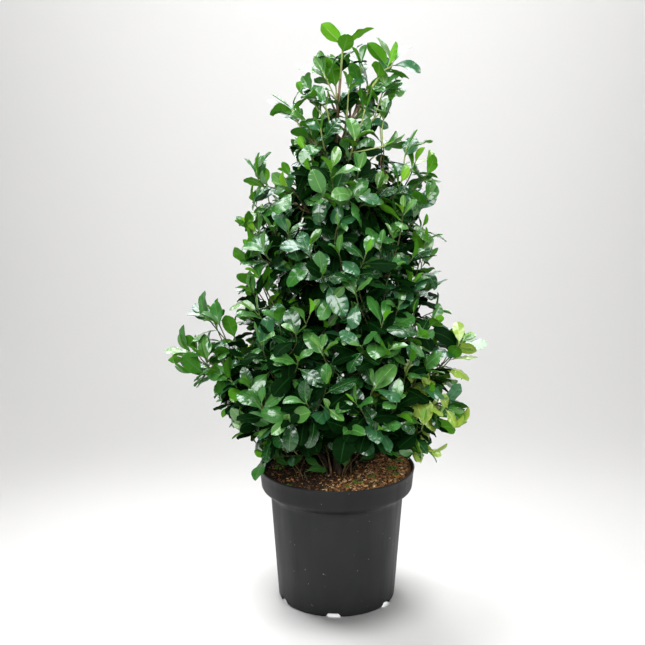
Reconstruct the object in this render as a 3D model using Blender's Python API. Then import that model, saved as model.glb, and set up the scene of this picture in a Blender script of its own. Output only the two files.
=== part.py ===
# Potted cherry laurel: a many-stemmed evergreen shrub, trained as a cone, in a round nursery pot.
# Metres, +Z up. The origin is the middle of the pot's flat underside, and the front of the plant faces -Y.
import math

import bmesh
import bpy
from mathutils import Matrix, Vector, noise
from mathutils.bvhtree import BVHTree

# ---------------------------------------------------------------- sizes
POT_HEIGHT = 0.290
POT_RIM_RADIUS = 0.165          # outside of the collar, at the lip
POT_COLLAR_HEIGHT = 0.052       # the upright band under the lip
POT_BODY_TOP_RADIUS = 0.1415    # outside of the wall, just under the collar
POT_BASE_RADIUS = 0.1253
POT_WALL = 0.0028
POT_FLOOR = 0.0040
POT_SEGMENTS = 48
NOTCHES = 6                     # drain notches round the edge of the base
NOTCH_FIRST_DEG = -93.0
NOTCH_FOOT_WIDTH = 0.034
NOTCH_TOP_WIDTH = 0.020
NOTCH_HEIGHT = 0.009

SOIL_GAP = 0.0008               # all round, to the pot
SOIL_LEVEL = 0.2760             # flat middle, where the stems stand
SOIL_FLAT_RADIUS = 0.050
SOIL_TILT = 0.011               # the compost is heaped higher on the right and at the back
SOIL_SEGMENTS = 48

LEADER_FOOT_RADIUS = 0.0080
LEADER_TIP_RADIUS = 0.0030
LEADER_TOP = 1.16
LEADER_FLARE = 0.0036           # how much the foot widens into its roots
SIDE_STEM_RADIUS = 0.0050
STAND = 0.0004                  # between the stems and the compost they stand in

PLANT_TOP = 1.205
MASS_GAP = 0.003                # between neighbouring masses of foliage
CORE_RADIUS = 0.038             # the bare middle that the leader runs up through

# rings of foliage: name, height of the middle, how many, ring radius, half-size outwards, sideways and upright,
# turn of the first mass, and how much the outer end hangs (-) or lifts (+)
RINGS = [
    ("skirt", 0.460, 8, 0.166, 0.100, 0.120, 0.126, 22.5, -0.42),
    ("lower", 0.602, 6, 0.140, 0.102, 0.128, 0.116, 0.0, 0.05),
    ("middle", 0.742, 6, 0.118, 0.094, 0.118, 0.108, 30.0, 0.15),
    ("upper", 0.868, 5, 0.096, 0.088, 0.110, 0.100, -18.0, 0.22),
    ("crest", 0.976, 4, 0.066, 0.070, 0.090, 0.090, 45.0, 0.35),
    ("top", 1.066, 3, 0.034, 0.042, 0.056, 0.066, 30.0, 0.50),
]

# shoots that stand out of the rings: name, where each starts, where its tip is, and half its width
SPRAYS = [
    ("leader_tip", (0.010, 0.000, 1.116), (0.024, 0.000, 1.204), 0.046),
    ("right_tip", (0.086, 0.004, 1.088), (0.134, 0.008, 1.174), 0.042),
    ("upper_left_spray", (-0.060, -0.010, 0.985), (-0.140, -0.020, 1.042), 0.034),
    ("crest_right_spray", (0.086, -0.004, 0.935), (0.204, -0.006, 0.984), 0.038),
    ("shoulder_right", (0.118, 0.030, 0.850), (0.208, 0.040, 0.920), 0.038),
    ("shoulder_left", (-0.100, 0.000, 0.856), (-0.170, 0.004, 0.948), 0.038),
    ("low_left_shoot", (-0.180, -0.016, 0.550), (-0.304, -0.020, 0.640), 0.042),
    ("low_left_tip", (-0.200, -0.036, 0.500), (-0.346, -0.044, 0.560), 0.044),
    ("low_right_tip", (0.180, -0.020, 0.505), (0.298, -0.022, 0.580), 0.046),
    ("low_right_spray", (0.170, -0.050, 0.462), (0.266, -0.064, 0.416), 0.050),
    ("left_droop", (-0.096, -0.090, 0.376), (-0.150, -0.132, 0.306), 0.036),
    ("right_droop", (0.130, -0.070, 0.388), (0.186, -0.084, 0.316), 0.036),
    ("back_left_spray", (-0.096, 0.184, 0.536), (-0.146, 0.286, 0.592), 0.046),
    ("back_right_spray", (0.112, 0.162, 0.608), (0.160, 0.252, 0.674), 0.044),
]
SPRAY_SIDES, SPRAY_RINGS = 9, 6
MASS_SIDES, MASS_RINGS = 11, 8

COLOURS = {
    "pot": ((0.030, 0.031, 0.032), 0.55),
    "soil": ((0.060, 0.030, 0.014), 0.95),
    "bark": ((0.120, 0.075, 0.045), 0.85),
    "leaf": ((0.020, 0.110, 0.025), 0.45),
}


# ---------------------------------------------------------------- helpers
def clear():
    for o in list(bpy.data.objects):
        bpy.data.objects.remove(o, do_unlink=True)


def finish(name, kind):
    colour, rough = COLOURS[kind]
    m = bpy.data.materials.get(name) or bpy.data.materials.new(name)
    m.use_nodes = True
    p = m.node_tree.nodes["Principled BSDF"]
    p.inputs["Base Color"].default_value = (*colour, 1)
    p.inputs["Roughness"].default_value = rough
    p.inputs["Metallic"].default_value = 0
    return m


def add_object(name, bm, kind, place=(0, 0, 0), smooth=True):
    mesh = bpy.data.meshes.new(name)
    bm.to_mesh(mesh)
    bm.free()
    ob = bpy.data.objects.new(name, mesh)
    ob.location = place
    bpy.context.scene.collection.objects.link(ob)
    mesh.materials.append(finish(name, kind))
    if smooth:
        mesh.shade_smooth()
        mesh.set_sharp_from_angle(angle=math.radians(40))
    return ob


def turned(profile, segments):
    """A closed turned body. The profile runs from the axis to the axis as (radius, height)."""
    bm = bmesh.new()
    points = [bm.verts.new((r, 0, z)) for r, z in profile]
    edges = [bm.edges.new(pair) for pair in zip(points, points[1:])]
    bmesh.ops.spin(bm, geom=points + edges, axis=(0, 0, 1), cent=(0, 0, 0), angle=2 * math.pi, steps=segments, use_duplicate=False)
    bmesh.ops.remove_doubles(bm, verts=bm.verts, dist=1e-5)
    bmesh.ops.dissolve_degenerate(bm, edges=bm.edges, dist=1e-6)
    bmesh.ops.recalc_face_normals(bm, faces=bm.faces)
    return bm


# ---------------------------------------------------------------- pot
def pot_outside():
    """The outer wall, from the base's edge up to the lip."""
    collar_foot = POT_HEIGHT - POT_COLLAR_HEIGHT
    return [
        (POT_BASE_RADIUS - 0.0030, 0.0),
        (POT_BASE_RADIUS, 0.0030),
        (POT_BODY_TOP_RADIUS, collar_foot - 0.004),
        (POT_BODY_TOP_RADIUS + 0.0075, collar_foot + 0.000),
        (POT_RIM_RADIUS - 0.0085, collar_foot + 0.005),
        (POT_RIM_RADIUS - 0.0045, collar_foot + 0.012),
        (POT_RIM_RADIUS - 0.0008, POT_HEIGHT - 0.0022),
        (POT_RIM_RADIUS - 0.0016, POT_HEIGHT),
    ]


def pot_inside():
    """The inner wall, from the lip down to the floor's edge."""
    collar_foot = POT_HEIGHT - POT_COLLAR_HEIGHT
    w = POT_WALL
    return [
        (POT_RIM_RADIUS - 0.0016 - w * 0.7, POT_HEIGHT),
        (POT_RIM_RADIUS - 0.0008 - w, POT_HEIGHT - 0.0022),
        (POT_RIM_RADIUS - 0.0045 - w, collar_foot + 0.0125),
        (POT_RIM_RADIUS - 0.0085 - w, collar_foot + 0.0075),
        (POT_BODY_TOP_RADIUS + 0.0065 - w, collar_foot + 0.0026),
        (POT_BODY_TOP_RADIUS - w, collar_foot - 0.0035),
        (POT_BASE_RADIUS - w, POT_FLOOR + 0.002),
        (POT_BASE_RADIUS - w - 0.002, POT_FLOOR),
    ]


def make_pot():
    profile = [(0.0, 0.0)] + pot_outside() + pot_inside() + [(0.0, POT_FLOOR)]
    pot = add_object("pot", turned(profile, POT_SEGMENTS), "pot")
    cutter = bmesh.new()
    for i in range(NOTCHES):
        wedge = bmesh.ops.create_cube(cutter, size=1.0)["verts"]
        inner, outer = POT_BASE_RADIUS - 0.017, POT_BASE_RADIUS + 0.02
        for v in wedge:
            width = NOTCH_TOP_WIDTH if v.co.z > 0 else NOTCH_FOOT_WIDTH + 0.014
            v.co = Vector((
                outer if v.co.x > 0 else inner,
                math.copysign(width / 2, v.co.y),
                NOTCH_HEIGHT if v.co.z > 0 else -0.009,
            ))
        turn = Matrix.Rotation(math.radians(NOTCH_FIRST_DEG + i * 360 / NOTCHES), 4, "Z")
        bmesh.ops.transform(cutter, matrix=turn, verts=wedge)
    notch = add_object("notch_cutter", cutter, "pot", smooth=False)
    notch.hide_render = True
    notch.display_type = "WIRE"
    cut = pot.modifiers.new("notches", "BOOLEAN")
    cut.operation = "DIFFERENCE"
    cut.solver = "EXACT"
    cut.object = notch
    return pot


# ---------------------------------------------------------------- compost
def soil_height(x, y):
    """The top of the compost: flat round the stems, heaped to the right and the back, and uneven."""
    r = math.hypot(x, y)
    away = min(1.0, max(0.0, (r - SOIL_FLAT_RADIUS) / 0.05))
    away = away * away * (3 - 2 * away)
    rise = SOIL_TILT * (0.75 * x + 0.65 * y) / POT_RIM_RADIUS
    bump = 0.0025 * noise.noise(Vector((x * 28, y * 28, 3.1)))
    return SOIL_LEVEL + away * (rise + bump - 0.001)


def inner_radius(z):
    """The inner wall's radius at a height."""
    wall = pot_inside()
    for (r1, z1), (r2, z2) in zip(wall, wall[1:]):
        if z2 <= z <= z1:
            return r2 + (r1 - r2) * (z - z2) / (z1 - z2)
    return wall[0][0]


def make_soil():
    inside = pot_inside()
    sides = [(r - SOIL_GAP, z) for r, z in inside[2:-1]]
    rim_r = POT_RIM_RADIUS - 0.0028 - POT_WALL - SOIL_GAP
    profile = [(0.0, POT_FLOOR + SOIL_GAP), (inside[-1][0] - SOIL_GAP, POT_FLOOR + SOIL_GAP)]
    profile += [(r, z + (SOIL_GAP if z < 0.01 else 0)) for r, z in reversed(sides)]
    profile += [(rim_r, SOIL_LEVEL - 0.0045), (rim_r * 0.86, SOIL_LEVEL - 0.0025), (rim_r * 0.70, SOIL_LEVEL - 0.0015), (rim_r * 0.52, SOIL_LEVEL), (SOIL_FLAT_RADIUS, SOIL_LEVEL), (0.0, SOIL_LEVEL)]
    bm = turned(profile, SOIL_SEGMENTS)
    for v in bm.verts:
        if v.co.z > SOIL_LEVEL - 0.005:
            v.co.z = soil_height(v.co.x, v.co.y)
            r = math.hypot(v.co.x, v.co.y)
            room = inner_radius(v.co.z) - SOIL_GAP
            if r > room:
                v.co.x *= room / r
                v.co.y *= room / r
    return add_object("soil", bm, "soil")


# ---------------------------------------------------------------- foliage masses
class Mass:
    def __init__(self, name, centre, half, turn, sides, rings, seed):
        self.name, self.centre, self.half, self.turn = name, Vector(centre), Vector(half), turn
        self.sides, self.rings, self.seed = sides, rings, seed
        self.planes = []

    def reach(self, way):
        """How far the mass's own ellipsoid reaches from its middle in a direction."""
        local = self.turn.transposed() @ way
        return math.sqrt(sum((local[k] * self.half[k]) ** 2 for k in range(3)))

    def body(self):
        """An uneven ball of its own shape, pressed flat where it meets its neighbours."""
        bm = bmesh.new()
        bmesh.ops.create_uvsphere(bm, u_segments=self.sides, v_segments=self.rings, radius=1.0)
        for v in bm.verts:
            d = v.co.normalized()
            slow = noise.noise(d * 1.15 + Vector((self.seed, 1.7, 0.3)))
            quick = noise.noise(d * 2.9 + Vector((0.4, self.seed, 2.2)))
            size = 0.98 + 0.24 * slow + 0.20 * quick
            way = self.turn @ (Vector((d.x * self.half.x, d.y * self.half.y, d.z * self.half.z)) * size)
            for point, normal in self.planes:
                room = (point - self.centre).dot(normal)
                if way.dot(normal) > room:
                    way *= room / way.dot(normal)
            v.co = self.centre + way
        bmesh.ops.triangulate(bm, faces=bm.faces)
        bmesh.ops.recalc_face_normals(bm, faces=bm.faces)
        return bm


def compass(degrees):
    names = ["right", "back_right", "back", "back_left", "left", "front_left", "front", "front_right"]
    return names[int(((degrees + 22.5) % 360) // 45)]


def plan_masses():
    masses, used = [], {}
    for ring, z, count, radius, out, side, up, first, lift in RINGS:
        for i in range(count):
            a = first + i * 360 / count
            sway = noise.noise(Vector((i * 1.9, z * 7.3, 0.5)))
            lift_by = noise.noise(Vector((i * 2.3, z * 5.1, 4.5)))
            r = radius * (1 + 0.10 * sway)
            centre = Vector((r * math.cos(math.radians(a)), r * math.sin(math.radians(a)), z + 0.040 * lift_by * up / 0.11))
            turn = Matrix.Rotation(math.radians(a), 3, "Z") @ Matrix.Rotation(-math.atan(lift), 3, "Y")
            name = f"{ring}_{compass(a)}"
            used[name] = used.get(name, 0) + 1
            if used[name] > 1:
                name += f"_{used[name]}"
            masses.append(Mass(name, centre, (out, side, up), turn, MASS_SIDES, MASS_RINGS, 3.0 * len(masses)))
    for name, start, tip, width in SPRAYS:
        along = Vector(tip) - Vector(start)
        turn = along.to_track_quat("Z", "Y").to_matrix()
        masses.append(Mass(name, (Vector(tip) + Vector(start)) / 2, (width, width, along.length / 2), turn, SPRAY_SIDES, SPRAY_RINGS, 3.0 * len(masses)))
    return masses


def part_neighbours(masses):
    """Each pair of masses that would meet is parted by one plane between them, nearer the smaller one."""
    for i, a in enumerate(masses):
        for b in masses[i + 1:]:
            way = b.centre - a.centre
            far = way.length
            way = way / far
            ra, rb = a.reach(way), b.reach(way)
            if (ra + rb) * 1.22 < far:
                continue
            cut = a.centre + way * (far * ra / (ra + rb))
            a.planes.append((cut - way * MASS_GAP / 2, way))
            b.planes.append((cut + way * MASS_GAP / 2, -way))


def clear_core(masses, path, top):
    """The masses keep off the bare middle, so that the leader runs up between them."""
    for m in masses:
        if m.centre.z - m.half.z > top:
            continue
        near = [p for p in path if abs(p.z - m.centre.z) < m.half.z * 1.15 + 0.01]
        if not near:
            continue
        middle = sum(near, Vector()) / len(near)
        out = Vector((m.centre.x - middle.x, m.centre.y - middle.y, 0))
        if out.length < 0.02:
            continue
        out.normalize()
        core = CORE_RADIUS if m.centre.z < 0.85 else CORE_RADIUS * 0.55
        edge = max(p.x * out.x + p.y * out.y for p in near) + core
        m.planes.append((out * edge, -out))


def trim_foot(masses):
    """Nothing hangs lower than a little over the pot's rim."""
    floor = POT_HEIGHT + 0.010
    for m in masses:
        if m.centre.z - m.half.z * 1.2 < floor:
            m.planes.append((Vector((0, 0, floor)), Vector((0, 0, -1))))
        if m.centre.z + m.half.z * 1.2 > PLANT_TOP:
            m.planes.append((Vector((0, 0, PLANT_TOP)), Vector((0, 0, 1))))


# ---------------------------------------------------------------- stems and boughs
def smooth_path(controls, steps):
    """A smooth curve through the controls (Catmull-Rom), with this many steps between each two."""
    pts = [Vector(c) for c in controls]
    ends = [pts[0] * 2 - pts[1]] + pts + [pts[-1] * 2 - pts[-2]]
    out = []
    for i in range(1, len(ends) - 2):
        p0, p1, p2, p3 = ends[i - 1:i + 3]
        for s in range(steps):
            t = s / steps
            out.append(0.5 * ((2 * p1) + (p2 - p0) * t + (2 * p0 - 5 * p1 + 4 * p2 - p3) * t * t + (3 * p1 - p0 - 3 * p2 + p3) * t ** 3))
    return out + [pts[-1]]


def limb(name, path, radii, sides, level_foot=False, flare=0.0, gap_root=None):
    """One tapering limb along a path. A stem has a level foot that widens into its roots."""
    bm = bmesh.new()
    rings = []
    for i, p in enumerate(path):
        way = (path[min(i + 1, len(path) - 1)] - path[max(i - 1, 0)]).normalized()
        if level_foot and i == 0:
            way = Vector((0, 0, 1))
        side = Vector((0, 1, 0)).cross(way)
        side = side.normalized() if side.length > 0.1 else Vector((1, 0, 0))
        up = way.cross(side).normalized()
        ring = []
        for k in range(sides):
            a = 2 * math.pi * k / sides
            r = radii[i]
            if flare and p.z - path[0].z < 0.035:
                low = 1 - (p.z - path[0].z) / 0.035
                r += flare * low * low * (0.75 + 0.45 * math.sin(3 * a + 0.6))
            ring.append(bm.verts.new(p + side * (r * math.cos(a)) + up * (r * math.sin(a))))
        rings.append(ring)
    for low, high in zip(rings, rings[1:]):
        for k in range(sides):
            bm.faces.new((low[k], low[(k + 1) % sides], high[(k + 1) % sides], high[k]))
    bm.faces.new(list(reversed(rings[0])))
    bm.faces.new(rings[-1])
    bmesh.ops.recalc_face_normals(bm, faces=bm.faces)
    return add_object(name, bm, "bark")


def up_to_mass(path, radii, trees):
    """The part of a path that lies outside every mass, with room for the limb's own thickness."""
    for i, (p, r) in enumerate(zip(path, radii)):
        for tree in trees:
            found = tree.find_nearest(p, r + 0.012)
            if found[0] is not None and found[3] < r + 0.0012:
                return max(i, 2)
    return len(path)


def taper(first, last, count):
    return [first + (last - first) * i / (count - 1) for i in range(count)]


def leader_path():
    """The tallest stem, with its slight bends, from the compost to the tip."""
    foot = SOIL_LEVEL + STAND
    return smooth_path([
        (0.000, 0.000, foot), (-0.002, 0.002, foot + 0.035), (-0.010, 0.006, 0.45), (0.006, -0.006, 0.68),
        (-0.004, 0.004, 0.88), (0.000, 0.000, 1.02), (0.010, 0.000, LEADER_TOP),
    ], 3)


# side stems from the same root: name, compass angle, distance of the foot, and where each one heads for (reach, height)
SIDE_STEMS = [
    ("stem_left", 172, 0.026, 0.110, 0.46),
    ("stem_right", 12, 0.028, 0.120, 0.47),
    ("stem_front", -78, 0.026, 0.105, 0.46),
    ("stem_back", 96, 0.027, 0.110, 0.47),
    ("stem_front_left", -140, 0.030, 0.130, 0.43),
]

# boughs off the leader: name, height of the fork, compass angle, reach, rise, radius at the fork
BOUGHS = [
    ("bough_low_left", 0.470, 178, 0.12, 0.070, 0.0050),
    ("bough_low_right", 0.500, 2, 0.12, 0.070, 0.0048),
    ("bough_middle_back", 0.640, 84, 0.10, 0.060, 0.0044),
    ("bough_middle_front", 0.655, -96, 0.10, 0.060, 0.0044),
    ("bough_upper_left", 0.800, 176, 0.09, 0.065, 0.0040),
    ("bough_top_right", 0.940, -8, 0.09, 0.160, 0.0040),
]


def make_wood(trees):
    path = leader_path()
    radii = []
    for p in path:
        t = (p.z - SOIL_LEVEL) / (LEADER_TOP - SOIL_LEVEL)
        radii.append(LEADER_FOOT_RADIUS + (LEADER_TIP_RADIUS - LEADER_FOOT_RADIUS) * t ** 0.8)
    fine, fine_r = [], []
    for a, b, ra, rb in zip(path, path[1:], radii, radii[1:]):
        for s in range(4):
            fine.append(a.lerp(b, s / 4))
            fine_r.append(ra + (rb - ra) * s / 4)
    end = up_to_mass(fine, fine_r, trees)
    top = fine[end - 1].z
    keep = [i for i, p in enumerate(path) if p.z < top - 0.006]
    stem_path = [path[i] for i in keep] + [fine[end - 1]]
    stem_radii = [radii[i] for i in keep] + [fine_r[end - 1]]
    limb("stem_leader", stem_path, stem_radii, 8, level_foot=True, flare=LEADER_FLARE)

    foot = SOIL_LEVEL + STAND
    for name, angle, start, reach, height in SIDE_STEMS:
        c, s = math.cos(math.radians(angle)), math.sin(math.radians(angle))
        route = smooth_path([
            (c * start, s * start, foot), (c * (start + 0.004), s * (start + 0.004), foot + 0.03),
            (c * (start + reach) * 0.55, s * (start + reach) * 0.55, (foot + height) / 2 + 0.012), (c * reach, s * reach, height),
        ], 8)
        sizes = taper(SIDE_STEM_RADIUS, SIDE_STEM_RADIUS * 0.6, len(route))
        n = up_to_mass(route, sizes, trees)
        step = max(1, n // 6)
        chosen = sorted(set(list(range(0, n - 1, step)) + [n - 1]))
        limb(name, [route[i] for i in chosen], [sizes[i] for i in chosen], 7, level_foot=True, flare=0.0018)

    for name, fork, angle, reach, rise, size in BOUGHS:
        c, s = math.cos(math.radians(angle)), math.sin(math.radians(angle))
        at = min(range(len(fine)), key=lambda i: abs(fine[i].z - fork))
        root, thick = fine[at], fine_r[at]
        out = Vector((c, s, 0))
        # the bough leaves the leader's bark with a hair's gap, and rises as it goes out
        begin = root + out * (thick + size * 0.75 + 0.0006) + Vector((0, 0, 0.004))
        route = smooth_path([begin, begin + out * reach * 0.35 + Vector((0, 0, rise * 0.45)), begin + out * reach + Vector((0, 0, rise))], 10)
        sizes = taper(size, size * 0.6, len(route))
        n = up_to_mass(route, sizes, trees)
        step = max(1, n // 4)
        chosen = sorted(set(list(range(0, n - 1, step)) + [n - 1]))
        limb(name, [route[i] for i in chosen], [sizes[i] for i in chosen], 6)


# ---------------------------------------------------------------- the plant
def main():
    clear()
    make_pot()
    make_soil()
    masses = plan_masses()
    part_neighbours(masses)
    clear_core(masses, leader_path(), LEADER_TOP - 0.07)
    trim_foot(masses)
    trees = []
    for m in masses:
        bm = m.body()
        trees.append(BVHTree.FromBMesh(bm))
        add_object(m.name, bm, "leaf")
    make_wood(trees)


main()
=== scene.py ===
import math

import bmesh
import bpy
import numpy as np
from mathutils import Matrix, Vector, noise
from mathutils.bvhtree import BVHTree


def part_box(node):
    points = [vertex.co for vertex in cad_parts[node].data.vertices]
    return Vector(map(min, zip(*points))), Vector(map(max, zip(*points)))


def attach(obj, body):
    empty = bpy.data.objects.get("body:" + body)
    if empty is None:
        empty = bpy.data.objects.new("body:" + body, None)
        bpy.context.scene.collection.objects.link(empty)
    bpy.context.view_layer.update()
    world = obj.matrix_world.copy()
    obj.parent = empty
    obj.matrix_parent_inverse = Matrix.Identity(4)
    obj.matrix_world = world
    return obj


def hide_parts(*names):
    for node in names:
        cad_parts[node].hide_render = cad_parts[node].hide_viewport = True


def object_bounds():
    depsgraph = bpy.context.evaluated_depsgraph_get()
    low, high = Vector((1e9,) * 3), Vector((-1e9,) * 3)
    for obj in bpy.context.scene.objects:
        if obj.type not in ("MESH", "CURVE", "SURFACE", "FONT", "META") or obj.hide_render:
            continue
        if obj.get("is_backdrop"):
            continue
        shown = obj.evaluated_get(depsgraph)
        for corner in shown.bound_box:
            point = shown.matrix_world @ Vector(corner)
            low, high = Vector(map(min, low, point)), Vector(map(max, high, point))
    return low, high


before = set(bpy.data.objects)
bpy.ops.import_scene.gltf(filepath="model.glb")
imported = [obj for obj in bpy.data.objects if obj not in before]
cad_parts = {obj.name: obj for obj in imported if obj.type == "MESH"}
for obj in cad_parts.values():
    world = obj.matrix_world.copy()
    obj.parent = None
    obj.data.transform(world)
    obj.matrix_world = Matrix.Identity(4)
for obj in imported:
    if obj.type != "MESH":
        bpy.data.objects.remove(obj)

CAD_LOW, CAD_HIGH = (list(corner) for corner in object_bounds())
RNG = np.random.default_rng(23)
UP = Vector((0, 0, 1))

# ---------------------------------------------------------------- sizes, in metres
POT_HEIGHT, POT_RIM_RADIUS, POT_COLLAR = 0.290, 0.165, 0.052
POT_BODY_TOP, POT_BASE, POT_WALL, POT_FLOOR = 0.1415, 0.1253, 0.0028, 0.0040
NOTCHES, NOTCH_FIRST, NOTCH_HEIGHT = 6, -93.0, 0.009
SOIL_LEVEL, SOIL_FLAT, SOIL_TILT = 0.2760, 0.050, 0.011
LEADER_FOOT, LEADER_TIP = 0.0080, 0.0022
GREEN_ABOVE = 1.082           # the leader and the bough beside it are green from here up
PLANT_TOP = CAD_HIGH[2]

LEAF_LENGTH = {"skirt": 0.0555, "lower": 0.0545, "middle": 0.0520, "upper": 0.0495, "crest": 0.0490, "top": 0.0490}
LEAF_WIDTH = 0.600            # share of the length
SHOOT_SPACING = 0.0505        # between the tips of neighbouring shoots

WOOD = [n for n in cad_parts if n.startswith(("stem_", "bough_"))]
MASSES = [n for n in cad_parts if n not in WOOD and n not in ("pot", "soil")]
TIERS = ("skirt", "lower", "middle", "upper", "crest", "top")


# ---------------------------------------------------------------- materials
def principled(name, colour, rough, **more):
    m = bpy.data.materials.new(name)
    m.use_nodes = True
    p = m.node_tree.nodes["Principled BSDF"]
    p.inputs["Base Color"].default_value = (*colour, 1)
    p.inputs["Roughness"].default_value = rough
    for key, value in more.items():
        p.inputs[key.replace("_", " ")].default_value = value
    return m, m.node_tree, p


def add(tree, kind, **settings):
    n = tree.nodes.new(kind)
    for key, value in settings.items():
        setattr(n, key, value)
    return n


def noise_node(tree, scale, detail=4.0, rough=0.55, coords=None, stretch=None, distortion=0.0):
    """Noise in object space, which is the row frame."""
    if coords is None:
        coords = add(tree, "ShaderNodeTexCoord").outputs["Object"]
    if stretch:
        mapping = add(tree, "ShaderNodeMapping")
        mapping.inputs["Scale"].default_value = stretch
        tree.links.new(coords, mapping.inputs["Vector"])
        coords = mapping.outputs["Vector"]
    n = add(tree, "ShaderNodeTexNoise")
    n.inputs["Scale"].default_value = scale
    n.inputs["Detail"].default_value = detail
    n.inputs["Roughness"].default_value = rough
    n.inputs["Distortion"].default_value = distortion
    tree.links.new(coords, n.inputs["Vector"])
    return n


def ramp(tree, value, stops, interpolation="LINEAR"):
    r = add(tree, "ShaderNodeValToRGB")
    r.color_ramp.interpolation = interpolation
    while len(r.color_ramp.elements) < len(stops):
        r.color_ramp.elements.new(0.5)
    for e, (at, colour) in zip(r.color_ramp.elements, stops):
        e.position = at
        e.color = (*colour, 1) if len(colour) == 3 else colour
    tree.links.new(value, r.inputs["Fac"])
    return r


def grey(v):
    return (v, v, v)


def bump(tree, shader, height, strength, distance, after=None):
    b = add(tree, "ShaderNodeBump")
    b.inputs["Strength"].default_value = strength
    b.inputs["Distance"].default_value = distance
    tree.links.new(height, b.inputs["Height"])
    if after is not None:
        tree.links.new(after.outputs["Normal"], b.inputs["Normal"])
    tree.links.new(b.outputs["Normal"], shader.inputs["Normal"])
    return b


# name: upper side, midrib, underside, roughness of the upper side. The underside is the leaf's paler side, brightened
# well past it as painted light for light shining through the blade.
LEAF_TONES = [
    ("leaf_deep", (0.011, 0.064, 0.011), (0.055, 0.150, 0.038), (0.040, 0.175, 0.010), 0.27),
    ("leaf_blue", (0.026, 0.118, 0.038), (0.075, 0.180, 0.065), (0.045, 0.185, 0.014), 0.29),
    ("leaf_dark", (0.034, 0.150, 0.021), (0.085, 0.220, 0.042), (0.056, 0.220, 0.009), 0.28),
    ("leaf_green", (0.050, 0.176, 0.029), (0.125, 0.290, 0.060), (0.072, 0.260, 0.009), 0.30),
    ("leaf_mid", (0.073, 0.205, 0.037), (0.170, 0.350, 0.078), (0.092, 0.305, 0.010), 0.32),
    ("leaf_fresh", (0.094, 0.228, 0.036), (0.225, 0.415, 0.100), (0.120, 0.360, 0.012), 0.35),
    ("leaf_young", (0.135, 0.320, 0.022), (0.300, 0.480, 0.090), (0.180, 0.425, 0.020), 0.38),
    ("leaf_lime", (0.250, 0.380, 0.042), (0.400, 0.490, 0.110), (0.290, 0.420, 0.055), 0.42),
    ("leaf_olive", (0.140, 0.105, 0.022), (0.230, 0.200, 0.060), (0.190, 0.160, 0.045), 0.45),
    # The next tone is painted shade: near-black, for leaves deep in the crown.
    ("leaf_inner_shade", (0.0014, 0.0115, 0.0014), (0.008, 0.040, 0.006), (0.005, 0.030, 0.003), 0.60),
]
DEEP, BLUE, DARK, GREEN, MID, FRESH, YOUNG, LIME, OLIVE, INNER_SHADE = range(10)


def leaf_materials():
    out = []
    for name, top, rib, under, rough in LEAF_TONES:
        inner = name == "leaf_inner_shade"
        for part, colour, r, level in (("upper", top, rough, 0.46), ("rib", rib, 0.40, 0.4), ("under", under, 0.55, 0.20)):
            m, tree, p = principled(f"{name}_{part}", colour, r, Specular_IOR_Level=0.02 if inner else level)
            if part == "upper" and not inner:
                p.inputs["Coat Weight"].default_value = 0.80
                p.inputs["Coat Roughness"].default_value = 0.17
                p.inputs["Coat Tint"].default_value = (0.95, 0.97, 1.0, 1)
            fine = noise_node(tree, 210, 3.0, 0.6)
            bump(tree, p, fine.outputs["Fac"], 0.62 if part == "upper" else 0.30, 0.0010)
            out.append(m)
    return out


def bark_material(name, dark, light, scale, rough=0.8):
    m, tree, p = principled(name, dark, rough, Specular_IOR_Level=0.3)
    long = noise_node(tree, scale, 6, 0.62, stretch=(1, 1, 0.28), distortion=0.4)
    spots = noise_node(tree, scale * 2.6, 3, 0.5)
    c = ramp(tree, long.outputs["Fac"], [(0.30, dark), (0.52, tuple(0.55 * a + 0.45 * b for a, b in zip(dark, light))), (0.72, light)])
    tree.links.new(c.outputs["Color"], p.inputs["Base Color"])
    r = ramp(tree, spots.outputs["Fac"], [(0.3, grey(rough - 0.15)), (0.7, grey(min(1, rough + 0.12)))])
    tree.links.new(r.outputs["Color"], p.inputs["Roughness"])
    b = bump(tree, p, long.outputs["Fac"], 0.6, 0.0012)
    bump(tree, p, spots.outputs["Fac"], 0.4, 0.0006, after=b)
    return m


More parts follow.
